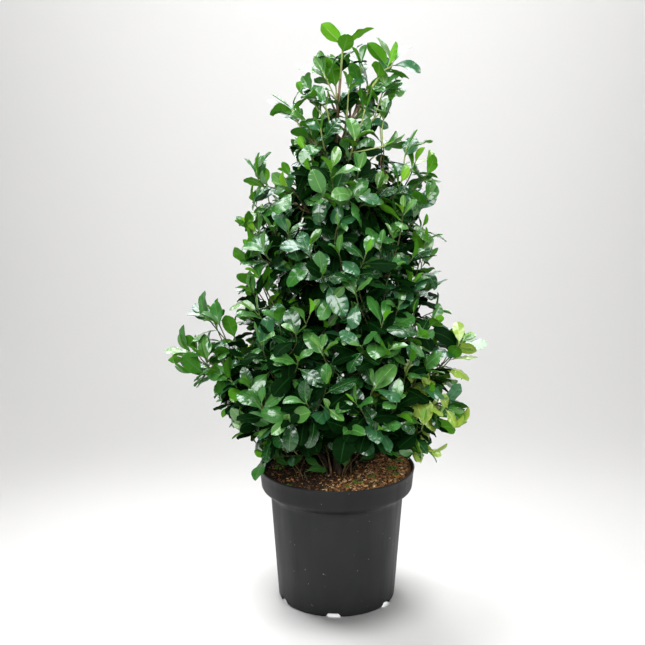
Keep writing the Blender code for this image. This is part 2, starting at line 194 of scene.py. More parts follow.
def pot_material():
    """Matt black moulded plastic: a fine grain, faint marks of flow and handling, a few pale specks of dried compost,
    and painted shade that darkens the collar.
    """
    m, tree, p = principled("pot_plastic", (0.013, 0.0135, 0.014), 0.50, Specular_IOR_Level=0.32)
    cloud = noise_node(tree, 11, 5, 0.6)
    streak = noise_node(tree, 34, 4, 0.6, stretch=(1, 1, 0.10))
    grain = noise_node(tree, 1500, 2, 0.5)
    speck = noise_node(tree, 150, 2, 0.45)
    base = ramp(tree, cloud.outputs["Fac"], [(0.30, (0.0066, 0.0070, 0.0074)), (0.70, (0.0116, 0.0120, 0.0124))])
    dust = ramp(tree, speck.outputs["Fac"], [(0.752, grey(0)), (0.775, grey(1))])
    mix = add(tree, "ShaderNodeMix", data_type="RGBA")
    mix.inputs["B"].default_value = (0.17, 0.155, 0.13, 1)
    height = add(tree, "ShaderNodeSeparateXYZ")
    tree.links.new(add(tree, "ShaderNodeTexCoord").outputs["Object"], height.inputs[0])
    # Painted shade: the collar's colour is multiplied down to half.
    collar_shade = add(tree, "ShaderNodeMapRange")
    for key, value in (("From Min", POT_HEIGHT - POT_COLLAR - 0.002), ("From Max", POT_HEIGHT - POT_COLLAR + 0.004), ("To Min", 1.0), ("To Max", 0.50)):
        collar_shade.inputs[key].default_value = value
    tree.links.new(height.outputs["Z"], collar_shade.inputs["Value"])
    painted_collar_shade = add(tree, "ShaderNodeMix", data_type="RGBA", blend_type="MULTIPLY")
    painted_collar_shade.inputs["Factor"].default_value = 1.0
    tree.links.new(base.outputs["Color"], painted_collar_shade.inputs["A"])
    tree.links.new(collar_shade.outputs["Result"], painted_collar_shade.inputs["B"])
    tree.links.new(dust.outputs["Color"], mix.inputs["Factor"])
    tree.links.new(painted_collar_shade.outputs["Result"], mix.inputs["A"])
    tree.links.new(mix.outputs["Result"], p.inputs["Base Color"])
    r = ramp(tree, streak.outputs["Fac"], [(0.30, grey(0.40)), (0.70, grey(0.60))])
    tree.links.new(r.outputs["Color"], p.inputs["Roughness"])
    b = bump(tree, p, streak.outputs["Fac"], 0.10, 0.0008)
    bump(tree, p, grain.outputs["Fac"], 0.16, 0.0004, after=b)
    return m


# Painted shade: the compost keeps its colour towards the right and the front and is darkened elsewhere, under the
# crown; there the bits are mostly nearly black as well.
UNSHADED_WAY, UNSHADED_FROM, UNSHADED_TO = (1.0, -0.75), 0.000, 0.085


def compost_material():
    m, tree, p = principled("compost", (0.05, 0.028, 0.015), 0.95, Specular_IOR_Level=0.2)
    big = noise_node(tree, 70, 6, 0.7)
    fine = noise_node(tree, 330, 5, 0.7)
    c = ramp(tree, fine.outputs["Fac"], [
        (0.30, (0.008, 0.004, 0.002)), (0.43, (0.040, 0.018, 0.008)), (0.52, (0.130, 0.056, 0.020)),
        (0.61, (0.330, 0.160, 0.055)), (0.72, (0.620, 0.420, 0.200)),
    ])
    moss = ramp(tree, big.outputs["Fac"], [(0.56, grey(0)), (0.63, grey(0.75))])
    mix = add(tree, "ShaderNodeMix", data_type="RGBA")
    mix.inputs["B"].default_value = (0.050, 0.095, 0.014, 1)
    tree.links.new(moss.outputs["Color"], mix.inputs["Factor"])
    tree.links.new(c.outputs["Color"], mix.inputs["A"])
    # Painted shade: the colour is multiplied down towards the back and the left.
    place = add(tree, "ShaderNodeVectorMath", operation="DOT_PRODUCT")
    tree.links.new(add(tree, "ShaderNodeTexCoord").outputs["Object"], place.inputs[0])
    place.inputs[1].default_value = (UNSHADED_WAY[0], UNSHADED_WAY[1], 0.0)
    unshaded = add(tree, "ShaderNodeMapRange", interpolation_type="SMOOTHSTEP")
    for key, value in (("From Min", UNSHADED_FROM), ("From Max", UNSHADED_TO), ("To Min", 0.16), ("To Max", 1.0)):
        unshaded.inputs[key].default_value = value
    tree.links.new(place.outputs["Value"], unshaded.inputs["Value"])
    painted_shade = add(tree, "ShaderNodeMix", data_type="RGBA", blend_type="MULTIPLY")
    painted_shade.inputs["Factor"].default_value = 1.0
    tree.links.new(mix.outputs["Result"], painted_shade.inputs["A"])
    tree.links.new(unshaded.outputs["Result"], painted_shade.inputs["B"])
    tree.links.new(painted_shade.outputs["Result"], p.inputs["Base Color"])
    b = bump(tree, p, big.outputs["Fac"], 0.7, 0.004)
    bump(tree, p, fine.outputs["Fac"], 0.9, 0.002, after=b)
    return m


def bits_material(name, dark, light, scale=260, rough=0.9):
    m, tree, p = principled(name, light, rough, Specular_IOR_Level=0.25)
    n = noise_node(tree, scale, 4, 0.6)
    c = ramp(tree, n.outputs["Fac"], [(0.35, dark), (0.65, light)])
    tree.links.new(c.outputs["Color"], p.inputs["Base Color"])
    bump(tree, p, n.outputs["Fac"], 0.5, 0.001)
    return m


# ---------------------------------------------------------------- meshes
def make_object(name, verts, faces, mats, index=None, smooth=True):
    """faces: (n, 4) or (n, 3) array. index: one material number for each face."""
    mesh = bpy.data.meshes.new(name)
    faces = np.asarray(faces)
    n, k = faces.shape
    mesh.vertices.add(len(verts))
    mesh.vertices.foreach_set("co", np.asarray(verts, np.float32).ravel())
    mesh.loops.add(n * k)
    mesh.loops.foreach_set("vertex_index", faces.astype(np.int32).ravel())
    mesh.polygons.add(n)
    mesh.polygons.foreach_set("loop_start", np.arange(0, n * k, k, dtype=np.int32))
    for m in mats:
        mesh.materials.append(m)
    if index is not None:
        mesh.polygons.foreach_set("material_index", np.asarray(index, np.int32))
    mesh.update(calc_edges=True)
    mesh.validate()
    if smooth:
        mesh.shade_smooth()
    ob = bpy.data.objects.new(name, mesh)
    bpy.context.scene.collection.objects.link(ob)
    return ob


class Quads:
    """Gathers pieces of one kind into one mesh."""

    def __init__(self):
        self.verts, self.faces, self.index, self.count = [], [], [], 0

    def add(self, verts, faces, index=0):
        self.verts.append(np.asarray(verts, float))
        self.faces.append(np.asarray(faces, int) + self.count)
        self.index.append(np.full(len(faces), index) if np.isscalar(index) else np.asarray(index))
        self.count += len(verts)

    def object(self, name, mats, smooth=True):
        return make_object(name, np.concatenate(self.verts), np.concatenate(self.faces), mats, np.concatenate(self.index), smooth)


def smooth_path(controls, steps):
    pts = [Vector(c) for c in controls]
    ends = [pts[0] * 2 - pts[1]] + pts + [pts[-1] * 2 - pts[-2]]
    out = []
    for i in range(1, len(ends) - 2):
        p0, p1, p2, p3 = ends[i - 1:i + 3]
        for s in range(steps):
            t = s / steps
            out.append(0.5 * ((2 * p1) + (p2 - p0) * t + (2 * p0 - 5 * p1 + 4 * p2 - p3) * t * t + (3 * p1 - p0 - 3 * p2 + p3) * t ** 3))
    return out + [pts[-1]]


def bezier(a, b, c, d, steps):
    out = []
    for i in range(steps + 1):
        t = i / steps
        u = 1 - t
        out.append(a * u ** 3 + b * (3 * u * u * t) + c * (3 * u * t * t) + d * t ** 3)
    return out


def tube(path, radii, sides, relief=0.0, seed=0.0, level_foot=False, flare=0.0):
    """A limb with round section, closed at both ends by a small cone of quads. relief roughens the bark."""
    n = len(path)
    verts = []
    ref = Vector((0, 1, 0))
    for i, p in enumerate(path):
        way = path[min(i + 1, n - 1)] - path[max(i - 1, 0)]
        way = way.normalized() if way.length > 1e-9 else UP
        if level_foot and i == 0:
            way = UP
        side = ref.cross(way)
        side = side.normalized() if side.length > 0.15 else Vector((1, 0, 0))
        up = way.cross(side).normalized()
        for k in range(sides):
            a = 2 * math.pi * k / sides
            r = radii[i]
            if flare and p.z - path[0].z < 0.035:
                low = 1 - (p.z - path[0].z) / 0.035
                r += flare * low * low * (0.75 + 0.45 * math.sin(3 * a + 0.6))
            q = side * math.cos(a) + up * math.sin(a)
            if relief:
                at = p + q * r
                r += relief * (noise.noise(Vector((at.x * 260, at.y * 260, at.z * 90 + seed))) + 0.6 * noise.noise(Vector((at.x * 700, at.y * 700, at.z * 500 + seed))))
            verts.append(p + q * r)
    faces = []
    for i in range(n - 1):
        for k in range(sides):
            faces.append((i * sides + k, i * sides + (k + 1) % sides, (i + 1) * sides + (k + 1) % sides, (i + 1) * sides + k))
    # each end is closed by quads across the ring
    half = sides // 2
    for end, flip in ((0, True), ((n - 1) * sides, False)):
        for k in range(half - 1):
            quad = (end + k, end + k + 1, end + sides - 2 - k, end + sides - 1 - k)
            faces.append(tuple(reversed(quad)) if flip else quad)
    return np.array([tuple(v) for v in verts]), np.array(faces)


# ---------------------------------------------------------------- leaves
# Half the blade's width along its midrib, as shares of its length and of its greatest half width.
BLADE_T = [0.0, 0.05, 0.12, 0.20, 0.29, 0.38, 0.47, 0.56, 0.65, 0.74, 0.82, 0.89, 0.95, 1.0]
BLADE_W = [0.03, 0.18, 0.43, 0.66, 0.835, 0.945, 0.995, 1.0, 0.965, 0.885, 0.755, 0.565, 0.33, 0.03]
VEIN_SLANT = 0.15             # how far the side veins run forward before they meet the margin, as a share of the length
MARGIN, BETWEEN, RIB = 3, 2, 1


class Blade:
    """A layout of the leaf's mesh: rows along the midrib, columns across, and which part each face shows (0 upper side, 1 midrib, 2 underside)."""

    def __init__(self, t, columns):
        self.t, self.columns = np.array(t), np.array(columns)
        self.rows, self.cols = len(t) + 1, len(columns)
        last, middle = self.rows - 1, len(columns) // 2 - 1
        faces, part = [], []
        for i in range(last):
            for j in range(self.cols - 1):
                faces.append([self.top(i, j), self.top(i, j + 1), self.top(i + 1, j + 1), self.top(i + 1, j)])
                part.append(1 if i == 0 or (j == middle and i < last - 1) else 0)
                faces.append([self.low(i, j), self.low(i + 1, j), self.low(i + 1, j + 1), self.low(i, j + 1)])
                part.append(1 if i == 0 or (j == middle and i < last - 3) else 2)
        self.faces, self.part = np.array(faces), np.array(part)
        self.count = self.rows * self.cols + (self.rows - 2) * (self.cols - 2)
        # creases run round the margin and along the side veins, which lie in every other row
        pairs = [(self.top(i, j), self.top(i + 1, j)) for i in range(last) for j in (0, self.cols - 1)]
        pairs += [(self.top(i, j), self.top(i, j + 1)) for i in (0, last) for j in range(self.cols - 1)]
        if self.cols > 4:
            for i in range(3, last, 2):
                for j in range(self.cols - 1):
                    if j != middle:
                        pairs += [(self.top(i, j), self.top(i, j + 1)), (self.low(i, j), self.low(i, j + 1))]
        self.crease = np.zeros((self.count, self.count), bool)
        for a, b in pairs:
            self.crease[a, b] = self.crease[b, a] = True

    def top(self, i, j):
        return i * self.cols + j

    def low(self, i, j):
        if i in (0, self.rows - 1) or j in (0, self.cols - 1):
            return self.top(i, j)
        return self.rows * self.cols + (i - 1) * (self.cols - 2) + (j - 1)

    def shapes(self, length, ratio, skew, fold, curl, bend, twist, wave, phase, quilt, stalk):
        """Vertices of many leaves at once, each in its own frame: x across, y along the midrib, z out of the upper side."""
        count = len(length)
        L, W = length[:, None], (length * ratio / 2)[:, None]
        slant = VEIN_SLANT if self.cols > 4 else 0.0
        t = (self.t + slant * np.sin(np.pi * self.t))[None, :] ** skew[:, None]
        w = np.maximum(W * np.interp(t, BLADE_T, BLADE_W), 0.0007)
        w[:, 0] = 0.0009
        w = np.concatenate([np.full((count, 1), 0.0008), w], 1)
        s = np.concatenate([[-1.0], self.t])
        inner = np.clip(s, 0, 1)
        swell = np.sin(np.pi * inner)
        along = np.where(s[None, :] < 0, -stalk[:, None], inner[None, :] * L)
        m = np.minimum(w * 0.55, (0.00120 - 0.00085 * inner)[None, :] * (L / 0.055))
        mid = m + (w - m) * 0.54
        kind = np.abs(self.columns)
        x = np.where(kind == MARGIN, w[:, :, None], np.where(kind == BETWEEN, mid[:, :, None], m[:, :, None])) * np.sign(self.columns)
        share = np.abs(x) / W[:, :, None]
        y = along[:, :, None] + slant * L[:, :, None] * swell[None, :, None] * np.abs(x) / w[:, :, None]
        z = fold[:, None, None] * np.abs(x) - curl[:, None, None] * x * x / W[:, :, None]
        ridge = np.where(np.arange(self.rows) % 2 == 0, 1.0, -1.0) * swell ** 0.5
        z = z + quilt[:, None, None] * ridge[None, :, None] * np.where(kind == BETWEEN, 1.0, np.where(kind == MARGIN, 0.25, 0.0))
        z = z - (0.0005 * (1 - inner))[None, :, None] * (kind == RIB)
        z = z + wave[:, None, None] * share ** 2 * np.sin(2 * np.pi * (1.7 * inner[None, :, None] + phase[:, None, None] + 0.37 * (x > 0)))
        z = np.where(s[None, :, None] < 0, 0, z)
        thick = 0.00032 + 0.0009 * (kind == RIB) * (1 - 0.8 * inner)[None, :, None] + 0 * x
        thick = np.where((s == 0)[None, :, None], 0.0013, thick)

        def place(x, y, z):
            k = (bend / length)[:, None, None]
            k = np.where(np.abs(k) < 1e-3, 1e-3, k)
            run = np.clip(y, 0, None)
            a = k * run
            turn = twist[:, None, None] * run / L[:, :, None]
            xx = x * np.cos(turn) - z * np.sin(turn)
            zz = x * np.sin(turn) + z * np.cos(turn)
            return np.stack([xx, np.sin(a) / k + np.minimum(y, 0) + zz * np.sin(a), -(1 - np.cos(a)) / k + zz * np.cos(a)], -1)

        upper = place(x, y, z).reshape(count, -1, 3)
        under = place(x[:, 1:-1, 1:-1], y[:, 1:-1, 1:-1], (z - thick)[:, 1:-1, 1:-1]).reshape(count, -1, 3)
        return np.concatenate([upper, under], 1)


FULL_BLADE = Blade([0.0, 0.06, 0.15, 0.25, 0.36, 0.47, 0.58, 0.69, 0.79, 0.88, 0.95, 1.0], (-MARGIN, -BETWEEN, -RIB, RIB, BETWEEN, MARGIN))
PLAIN_BLADE = Blade([0.0, 0.07, 0.17, 0.30, 0.45, 0.60, 0.74, 0.86, 0.95, 1.0], (-MARGIN, -RIB, RIB, MARGIN))

class Leaves:
    """Gathers leaves by group, and builds each group as one mesh."""

    def __init__(self, outline, depth):
        self.rows, self.outline, self.depth = {}, outline, depth

    def add(self, group, base, way, face, length, tone, age, rng, plain=False):
        """age 0 is a folded young leaf at a shoot's tip, 1 a full-grown one."""
        self.rows.setdefault(group, []).append((
            *base, *way, *face, length,
            LEAF_WIDTH * (0.80 + 0.20 * age) * rng.uniform(0.87, 1.12),
            rng.uniform(0.88, 1.20),
            (0.60 - 0.36 * age) * rng.uniform(0.5, 1.35),
            (0.05 + 0.36 * age) * rng.uniform(0.4, 1.4),
            rng.normal(0.20 + 0.60 * age, 0.34),
            rng.normal(0, 0.16 + 0.12 * age),
            length * rng.uniform(0.008, 0.062) * (0.4 + 0.6 * age),
            rng.uniform(0, 1),
            length * 0.0240 * (0.35 + 0.65 * age) * rng.uniform(0.6, 1.3),
            length * rng.uniform(0.12, 0.19),
            tone, float(plain),
        ))

    def arrays(self, rows, blade):
        r = np.array(rows)
        base, way, face, tone = r[:, 0:3], r[:, 3:6], r[:, 6:9], r[:, 20].astype(int)
        shapes = blade.shapes(*(r[:, k] for k in range(9, 20)))
        way = way / np.linalg.norm(way, axis=1)[:, None]
        face = face - way * (face * way).sum(1)[:, None]
        face = face / np.linalg.norm(face, axis=1)[:, None]
        side = np.cross(way, face)
        origin = base + way * r[:, 19:20]
        pts = origin[:, None, :] + shapes[..., 0:1] * side[:, None, :] + shapes[..., 1:2] * way[:, None, :] + shapes[..., 2:3] * face[:, None, :]
        faces = (blade.faces[None] + (np.arange(len(r)) * blade.count)[:, None, None]).reshape(-1, 4)
        index = (tone[:, None] * 3 + blade.part[None]).ravel()
        return pts.reshape(-1, 3), faces, index, blade

    def build(self, group, name, mats):
        sets = []
        for blade, plain in ((FULL_BLADE, False), (PLAIN_BLADE, True)):
            rows = [r for r in self.rows[group] if bool(r[-1]) == plain]
            if rows:
                sets.append(self.arrays(rows, blade))
        offset, faces, starts = 0, [], []
        for pts, f, index, blade in sets:
            faces.append(f + offset)
            starts.append(offset)
            offset += len(pts)
        ob = make_object(name, np.concatenate([s[0] for s in sets]), np.concatenate(faces), mats, np.concatenate([s[2] for s in sets]))
        pairs = np.empty(len(ob.data.edges) * 2, np.int32)
        ob.data.edges.foreach_get("vertices", pairs)
        pairs = pairs.reshape(-1, 2)
        sharp = np.zeros(len(pairs), bool)
        for (pts, f, index, blade), begin in zip(sets, starts):
            mine = (pairs[:, 0] >= begin) & (pairs[:, 0] < begin + len(pts))
            local = (pairs[mine] - begin) % blade.count
            sharp[mine] = blade.crease[local[:, 0], local[:, 1]]
        ob.data.edges.foreach_set("use_edge_sharp", sharp)
        return ob


# ---------------------------------------------------------------- stems, boughs and the network that shoots grow from
def leader_path():
    foot = SOIL_LEVEL + 0.0004
    return smooth_path([
        (0.000, 0.000, foot), (-0.002, 0.002, foot + 0.035), (-0.010, 0.006, 0.45), (0.006, -0.006, 0.68),
        (-0.004, 0.004, 0.88), (0.000, 0.000, 1.02), (0.010, 0.000, 1.16),
    ], 12)


SIDE_STEMS = [
    ("stem_left", 172, 0.026, 0.110, 0.46),
    ("stem_right", 12, 0.028, 0.120, 0.47),
    ("stem_front", -78, 0.026, 0.105, 0.46),
    ("stem_back", 96, 0.027, 0.110, 0.47),
    ("stem_front_left", -140, 0.030, 0.130, 0.43),
]
SIDE_STEM_RADIUS = 0.0050
BOUGHS = [
    ("bough_low_left", 0.470, 178, 0.12, 0.070, 0.0050),
    ("bough_low_right", 0.500, 2, 0.12, 0.070, 0.0048),
    ("bough_middle_back", 0.640, 84, 0.10, 0.060, 0.0044),
    ("bough_middle_front", 0.655, -96, 0.10, 0.060, 0.0044),
    ("bough_upper_left", 0.800, 176, 0.09, 0.065, 0.0040),
    ("bough_top_right", 0.940, -8, 0.09, 0.160, 0.0040),
]


class Network:
    """Points of wood that a younger limb can fork from."""

    def __init__(self):
        self.points, self.radii = [], []

    def add(self, path, radii):
        self.points += [p.copy() for p in path]
        self.radii += list(radii)

    def fork(self, target, below, steep=2.6):
        """The point that a limb to the target grows from: near it, and lower by about this much."""
        best, cost = 0, 1e9
        for i, p in enumerate(self.points):
            c = (p - target).length + steep * max(0.0, p.z - (target.z - below))
            if c < cost:
                best, cost = i, c
        return self.points[best], self.radii[best]


def crown_axis(z):
    return Vector((0.0, 0.0, z))


def outward(p):
    v = Vector((p.x, p.y, 0))
    return v.normalized() if v.length > 1e-4 else Vector((0, -1, 0))


# ---------------------------------------------------------------- growing the plant
# The sprays that stand out from the crown: start and tip of each, as in the frame's solids.
SPRAYS = {
    "leader_tip": ((0.010, 0.000, 1.116), (0.024, 0.000, 1.204)),
    "right_tip": ((0.086, 0.004, 1.088), (0.134, 0.008, 1.174)),
    "upper_left_spray": ((-0.060, -0.010, 0.985), (-0.140, -0.020, 1.042)),
    "crest_right_spray": ((0.086, -0.004, 0.935), (0.204, -0.006, 0.984)),
    "shoulder_right": ((0.118, 0.030, 0.850), (0.208, 0.040, 0.920)),
    "shoulder_left": ((-0.100, 0.000, 0.856), (-0.170, 0.004, 0.948)),
    "low_left_shoot": ((-0.180, -0.016, 0.550), (-0.304, -0.020, 0.640)),
    "low_left_tip": ((-0.200, -0.036, 0.500), (-0.346, -0.044, 0.560)),
    "low_right_tip": ((0.180, -0.020, 0.505), (0.298, -0.022, 0.580)),
    "low_right_spray": ((0.170, -0.050, 0.462), (0.266, -0.064, 0.416)),
    "left_droop": ((-0.096, -0.090, 0.376), (-0.150, -0.132, 0.306)),
    "right_droop": ((0.130, -0.070, 0.388), (0.186, -0.084, 0.316)),
    "back_left_spray": ((-0.096, 0.184, 0.536), (-0.146, 0.286, 0.592)),
    "back_right_spray": ((0.112, 0.162, 0.608), (0.160, 0.252, 0.674)),
}

# Where the two leading stems end under their topmost leaves.
LEADING_ENDS = {"leader_tip": (0.014, -0.002, 1.151), "right_tip": (0.108, 0.004, 1.121)}

# The topmost leaves of each: distance back from the stem's end, direction, the way the upper side faces, length and tone.
TOP_LEAVES = {
    "leader_tip": [
        (0.000, (-0.72, -0.12, 0.68), (0.36, 0.82, 0.44), 0.056, 5), (0.001, (0.76, -0.05, 0.64), (-0.50, 0.34, 0.76), 0.060, 5),
        (0.003, (-0.44, 0.50, 0.74), (0.20, -0.76, 0.60), 0.052, 3), (0.004, (0.40, 0.50, 0.76), (-0.25, -0.76, 0.60), 0.052, 3),
    ],
    "right_tip": [
        (0.016, (-0.62, -0.20, 0.78), (0.60, 0.70, 0.40), 0.056, 3), (0.003, (-0.34, 0.10, 0.93), (0.85, -0.42, 0.32), 0.056, 5),
        (0.000, (0.62, 0.16, 0.76), (-0.50, -0.66, 0.56), 0.046, 4), (0.006, (0.97, -0.16, 0.02), (-0.06, -0.56, 0.83), 0.054, 1),
    ],
}

# Shoots that show by themselves: the mass each belongs to, its tip, its direction, and the number of its leaves.
NAMED_SHOOTS = [
    ("leader_tip", (0.040, -0.010, 1.114), (0.02, -0.18, 0.98), 9),
    ("leader_tip", (-0.022, -0.014, 1.098), (-0.40, -0.26, 0.88), 9),
    ("leader_tip", (-0.046, -0.022, 1.066), (-0.62, -0.26, 0.74), 9),
    ("leader_tip", (-0.006, 0.030, 1.100), (-0.15, 0.50, 0.85), 8),
    ("leader_tip", (-0.048, 0.018, 1.050), (-0.55, 0.25, 0.80), 7),
    ("leader_tip", (0.018, -0.030, 1.068), (0.05, -0.40, 0.91), 8),
    ("leader_tip", (-0.020, -0.034, 1.036), (-0.20, -0.45, 0.87), 8),
    ("right_tip", (0.086, -0.006, 1.072), (0.35, -0.20, 0.91), 9),
    ("right_tip", (0.056, -0.016, 1.080), (0.10, -0.30, 0.95), 8),
    ("right_tip", (0.064, 0.030, 1.084), (0.15, 0.45, 0.88), 8),
    ("right_tip", (0.098, 0.010, 1.046), (0.60, 0.05, 0.80), 8),
    ("right_tip", (0.086, -0.020, 1.014), (0.30, -0.30, 0.90), 6),
    ("upper_left_spray", (-0.086, -0.014, 1.034), (-0.28, -0.12, 0.95), 10),
    ("upper_left_spray", (-0.066, 0.006, 1.008), (-0.20, 0.10, 0.97), 8),
    ("upper_left_spray", (-0.056, -0.030, 1.010), (-0.25, -0.40, 0.88), 8),
    ("crest_right_spray", (0.132, -0.010, 0.958), (0.22, -0.15, 0.96), 8),
    ("crest_right_spray", (0.176, -0.004, 0.908), (0.38, -0.10, 0.92), 8),
    ("crest_right_spray", (0.150, 0.030, 0.920), (0.25, 0.30, 0.92), 6),
    ("shoulder_right", (0.154, 0.016, 0.838), (0.60, -0.05, 0.80), 8),
    ("shoulder_right", (0.170, 0.030, 0.792), (0.62, 0.05, 0.78), 7),
    ("shoulder_left", (-0.158, -0.004, 0.904), (-0.22, -0.12, 0.96), 8),
    ("shoulder_left", (-0.166, -0.010, 0.848), (-0.62, -0.15, 0.77), 8),
    ("shoulder_left", (-0.140, 0.020, 0.880), (-0.15, 0.25, 0.94), 8),
    ("low_right_spray", (0.230, -0.062, 0.392), (0.80, -0.20, 0.05), 8),
    ("low_right_spray", (0.196, -0.080, 0.420), (0.60, -0.50, 0.45), 7),
    ("skirt_front_left", (-0.168, -0.106, 0.398), (-0.75, -0.45, 0.40), 7),
    ("skirt_left", (-0.226, -0.058, 0.450), (-0.75, -0.25, 0.35), 8),
    ("low_left_tip", (-0.286, -0.050, 0.500), (-0.90, -0.15, 0.10), 8),
    ("upper_left", (-0.158, -0.020, 0.790), (-0.55, -0.20, 0.80), 8),
    ("crest_front_right", (0.120, -0.050, 0.890), (0.35, -0.35, 0.87), 8),
    ("upper_right", (0.176, -0.010, 0.856), (0.60, -0.10, 0.79), 8),
    ("right_droop", (0.194, -0.082, 0.344), (0.80, -0.15, -0.10), 7, 0.92),
    ("left_droop", (-0.140, -0.086, 0.336), (-0.90, -0.20, 0.10), 8),
    ("left_droop", (-0.128, -0.066, 0.352), (-0.88, -0.30, 0.25), 6, 0.92),
    ("middle_front_left", (-0.172, -0.014, 0.792), (-0.60, -0.15, 0.78), 8),
    ("middle_front_left", (-0.174, -0.028, 0.728), (-0.60, -0.20, 0.77), 8),
]
# Single low leaves on twigs from the foot: foot of the twig, base of the leaf, direction, facing, length and tone.
LOW_LEAVES = [
    ((-0.062, -0.060, 0.276), (-0.066, -0.056, 0.292), (0.87, 0.10, 0.36), (-0.26, -0.40, 0.88), 0.043, 3),
    ((0.020, -0.024, 0.276), (0.017, -0.034, 0.290), (0.06, -0.20, 0.97), (0.10, -0.92, 0.30), 0.032, 3),
    ((-0.030, -0.034, 0.276), (-0.036, -0.044, 0.300), (-0.60, -0.30, 0.70), (0.30, -0.70, 0.60), 0.030, 2),
    ((0.034, -0.010, 0.276), (0.050, -0.020, 0.306), (0.70, -0.30, 0.60), (-0.30, -0.60, 0.70), 0.034, 2),
    ((-0.084, -0.040, 0.276), (-0.094, -0.052, 0.304), (-0.75, -0.30, 0.60), (0.30, -0.60, 0.75), 0.036, 2),
]
# Thin bare twigs that stand in the compost round the leader: foot, tip and thickness.
LOW_TWIGS = [
    ((0.016, -0.034, 0.276), (0.064, -0.006, 0.350), 0.0013), ((0.012, -0.040, 0.276), (0.036, -0.022, 0.350), 0.0011),
    ((-0.012, -0.030, 0.276), (-0.020, -0.010, 0.356), 0.0026), ((-0.020, -0.038, 0.276), (-0.046, -0.030, 0.350), 0.0014),
    ((-0.078, -0.044, 0.276), (-0.052, -0.030, 0.340), 0.0011), ((-0.070, -0.062, 0.276), (-0.108, -0.066, 0.352), 0.0014),
    ((0.030, -0.020, 0.276), (0.020, 0.010, 0.360), 0.0020), ((0.004, 0.030, 0.276), (0.040, 0.070, 0.380), 0.0022),
]
SHAPED_BY_NAME = {"left_droop", "upper_left_spray", "crest_right_spray", "shoulder_right", "shoulder_left"}


def mass_mesh(name):
    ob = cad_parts[name]
    ob.data.calc_loop_triangles()
    co = np.array([v.co[:] for v in ob.data.vertices])
    tri = np.array([t.vertices[:] for t in ob.data.loop_triangles])
    return co, tri


def surface_points(co, tri, density, rng):
    a, b, c = co[tri[:, 0]], co[tri[:, 1]], co[tri[:, 2]]
    n = np.cross(b - a, c - a)
    area = np.linalg.norm(n, axis=1) / 2
    n = n / np.maximum(np.linalg.norm(n, axis=1), 1e-12)[:, None]
    count = int(60 + density * area.sum())
    pick = rng.choice(len(tri), count, p=area / area.sum())
    r1, r2 = np.sqrt(rng.random(count)), rng.random(count)
    p = a[pick] * (1 - r1)[:, None] + b[pick] * (r1 * (1 - r2))[:, None] + c[pick] * (r1 * r2)[:, None]
    return p, n[pick]


def tier_of(name):
    first = name.split("_")[0]
    if first in TIERS:
        return first
    low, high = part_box(name)
    z = (low.z + high.z) / 2
    return "skirt" if z < 0.56 else "lower" if z < 0.68 else "middle" if z < 0.81 else "upper" if z < 0.93 else "crest"


def group_of(name, y):
    tier = tier_of(name)
    if tier in ("crest", "top"):
        return "top"
    return f"{tier}_{'front' if y < 0 else 'back'}"


# Gaps through the crown as seen from the front, at eye height: across, height and radius where the line of sight passes the middle of the plant.
EYE = Vector((0.0, -2.203, 1.0666))
GAPS = [
    (0.024, 1.128, 0.006), (0.064, 1.130, 0.010), (0.068, 1.092, 0.007), (-0.008, 1.058, 0.006), (0.006, 1.078, 0.004),
    (0.032, 1.040, 0.006), (0.026, 1.020, 0.007), (0.040, 1.022, 0.005), (0.060, 1.020, 0.008), (0.076, 1.030, 0.006), (0.084, 0.992, 0.010), (0.102, 0.990, 0.012),
    (0.118, 1.010, 0.016), (-0.060, 1.030, 0.010), (-0.024, 1.026, 0.007), (-0.106, 1.000, 0.016), (-0.108, 0.974, 0.016), (-0.094, 0.948, 0.006), (-0.092, 0.920, 0.008),
    (0.068, 0.939, 0.009), (0.078, 0.931, 0.007), (0.102, 0.950, 0.004), (0.108, 0.917, 0.004),
    (-0.133, 0.879, 0.005), (-0.124, 0.863, 0.005), (-0.094, 0.889, 0.004), (-0.089, 0.877, 0.004), (-0.068, 0.834, 0.008),
    (-0.158, 0.668, 0.010), (-0.150, 0.642, 0.005), (-0.028, 0.632, 0.004), (0.120, 0.614, 0.006), (0.148, 0.576, 0.008), (0.086, 0.540, 0.003),
    (0.180, 0.628, 0.010), (-0.200, 0.570, 0.012), (-0.236, 0.574, 0.014),
    (0.222, 0.530, 0.010), (0.198, 0.505, 0.006), (0.252, 0.468, 0.006), (0.206, 0.433, 0.006), (0.231, 0.392, 0.007), (0.200, 0.387, 0.005), (0.216, 0.352, 0.009),
]


def in_gap(p, way, long):
    """True where a leaf would close one of the gaps."""
    for share in (0.15, 0.5, 0.85, 1.0):
        q = p + way * (long * share)
        k = -EYE.y / (q.y - EYE.y)
        x, z = q.x * k, EYE.z + (q.z - EYE.z) * k
        for gx, gz, r in GAPS:
            if (x - gx) ** 2 + (z - gz) ** 2 < (r + 0.002) ** 2:
                return True
    return False


class Depth:
    """How deep a point lies in the crown, level with it: the crown's radius there less the point's own."""

    def __init__(self, points):
        self.reach = np.zeros((64, 24))
        for x, y, z in points:
            i, k = int(z / 0.02), int((math.atan2(y, x) + math.pi) / (2 * math.pi) * 24) % 24
            if i < 64:
                self.reach[i, k] = max(self.reach[i, k], math.hypot(x, y))
        wide = np.maximum.reduce([np.roll(self.reach, s, 1) for s in (-1, 0, 1)])
        self.reach = 0.5 * self.reach + 0.5 * wide

    def __call__(self, p):
        i = min(63, max(0, int(p.z / 0.02)))
        k = int((math.atan2(p.y, p.x) + math.pi) / (2 * math.pi) * 24) % 24
        return self.reach[i, k] - math.hypot(p.x, p.y)


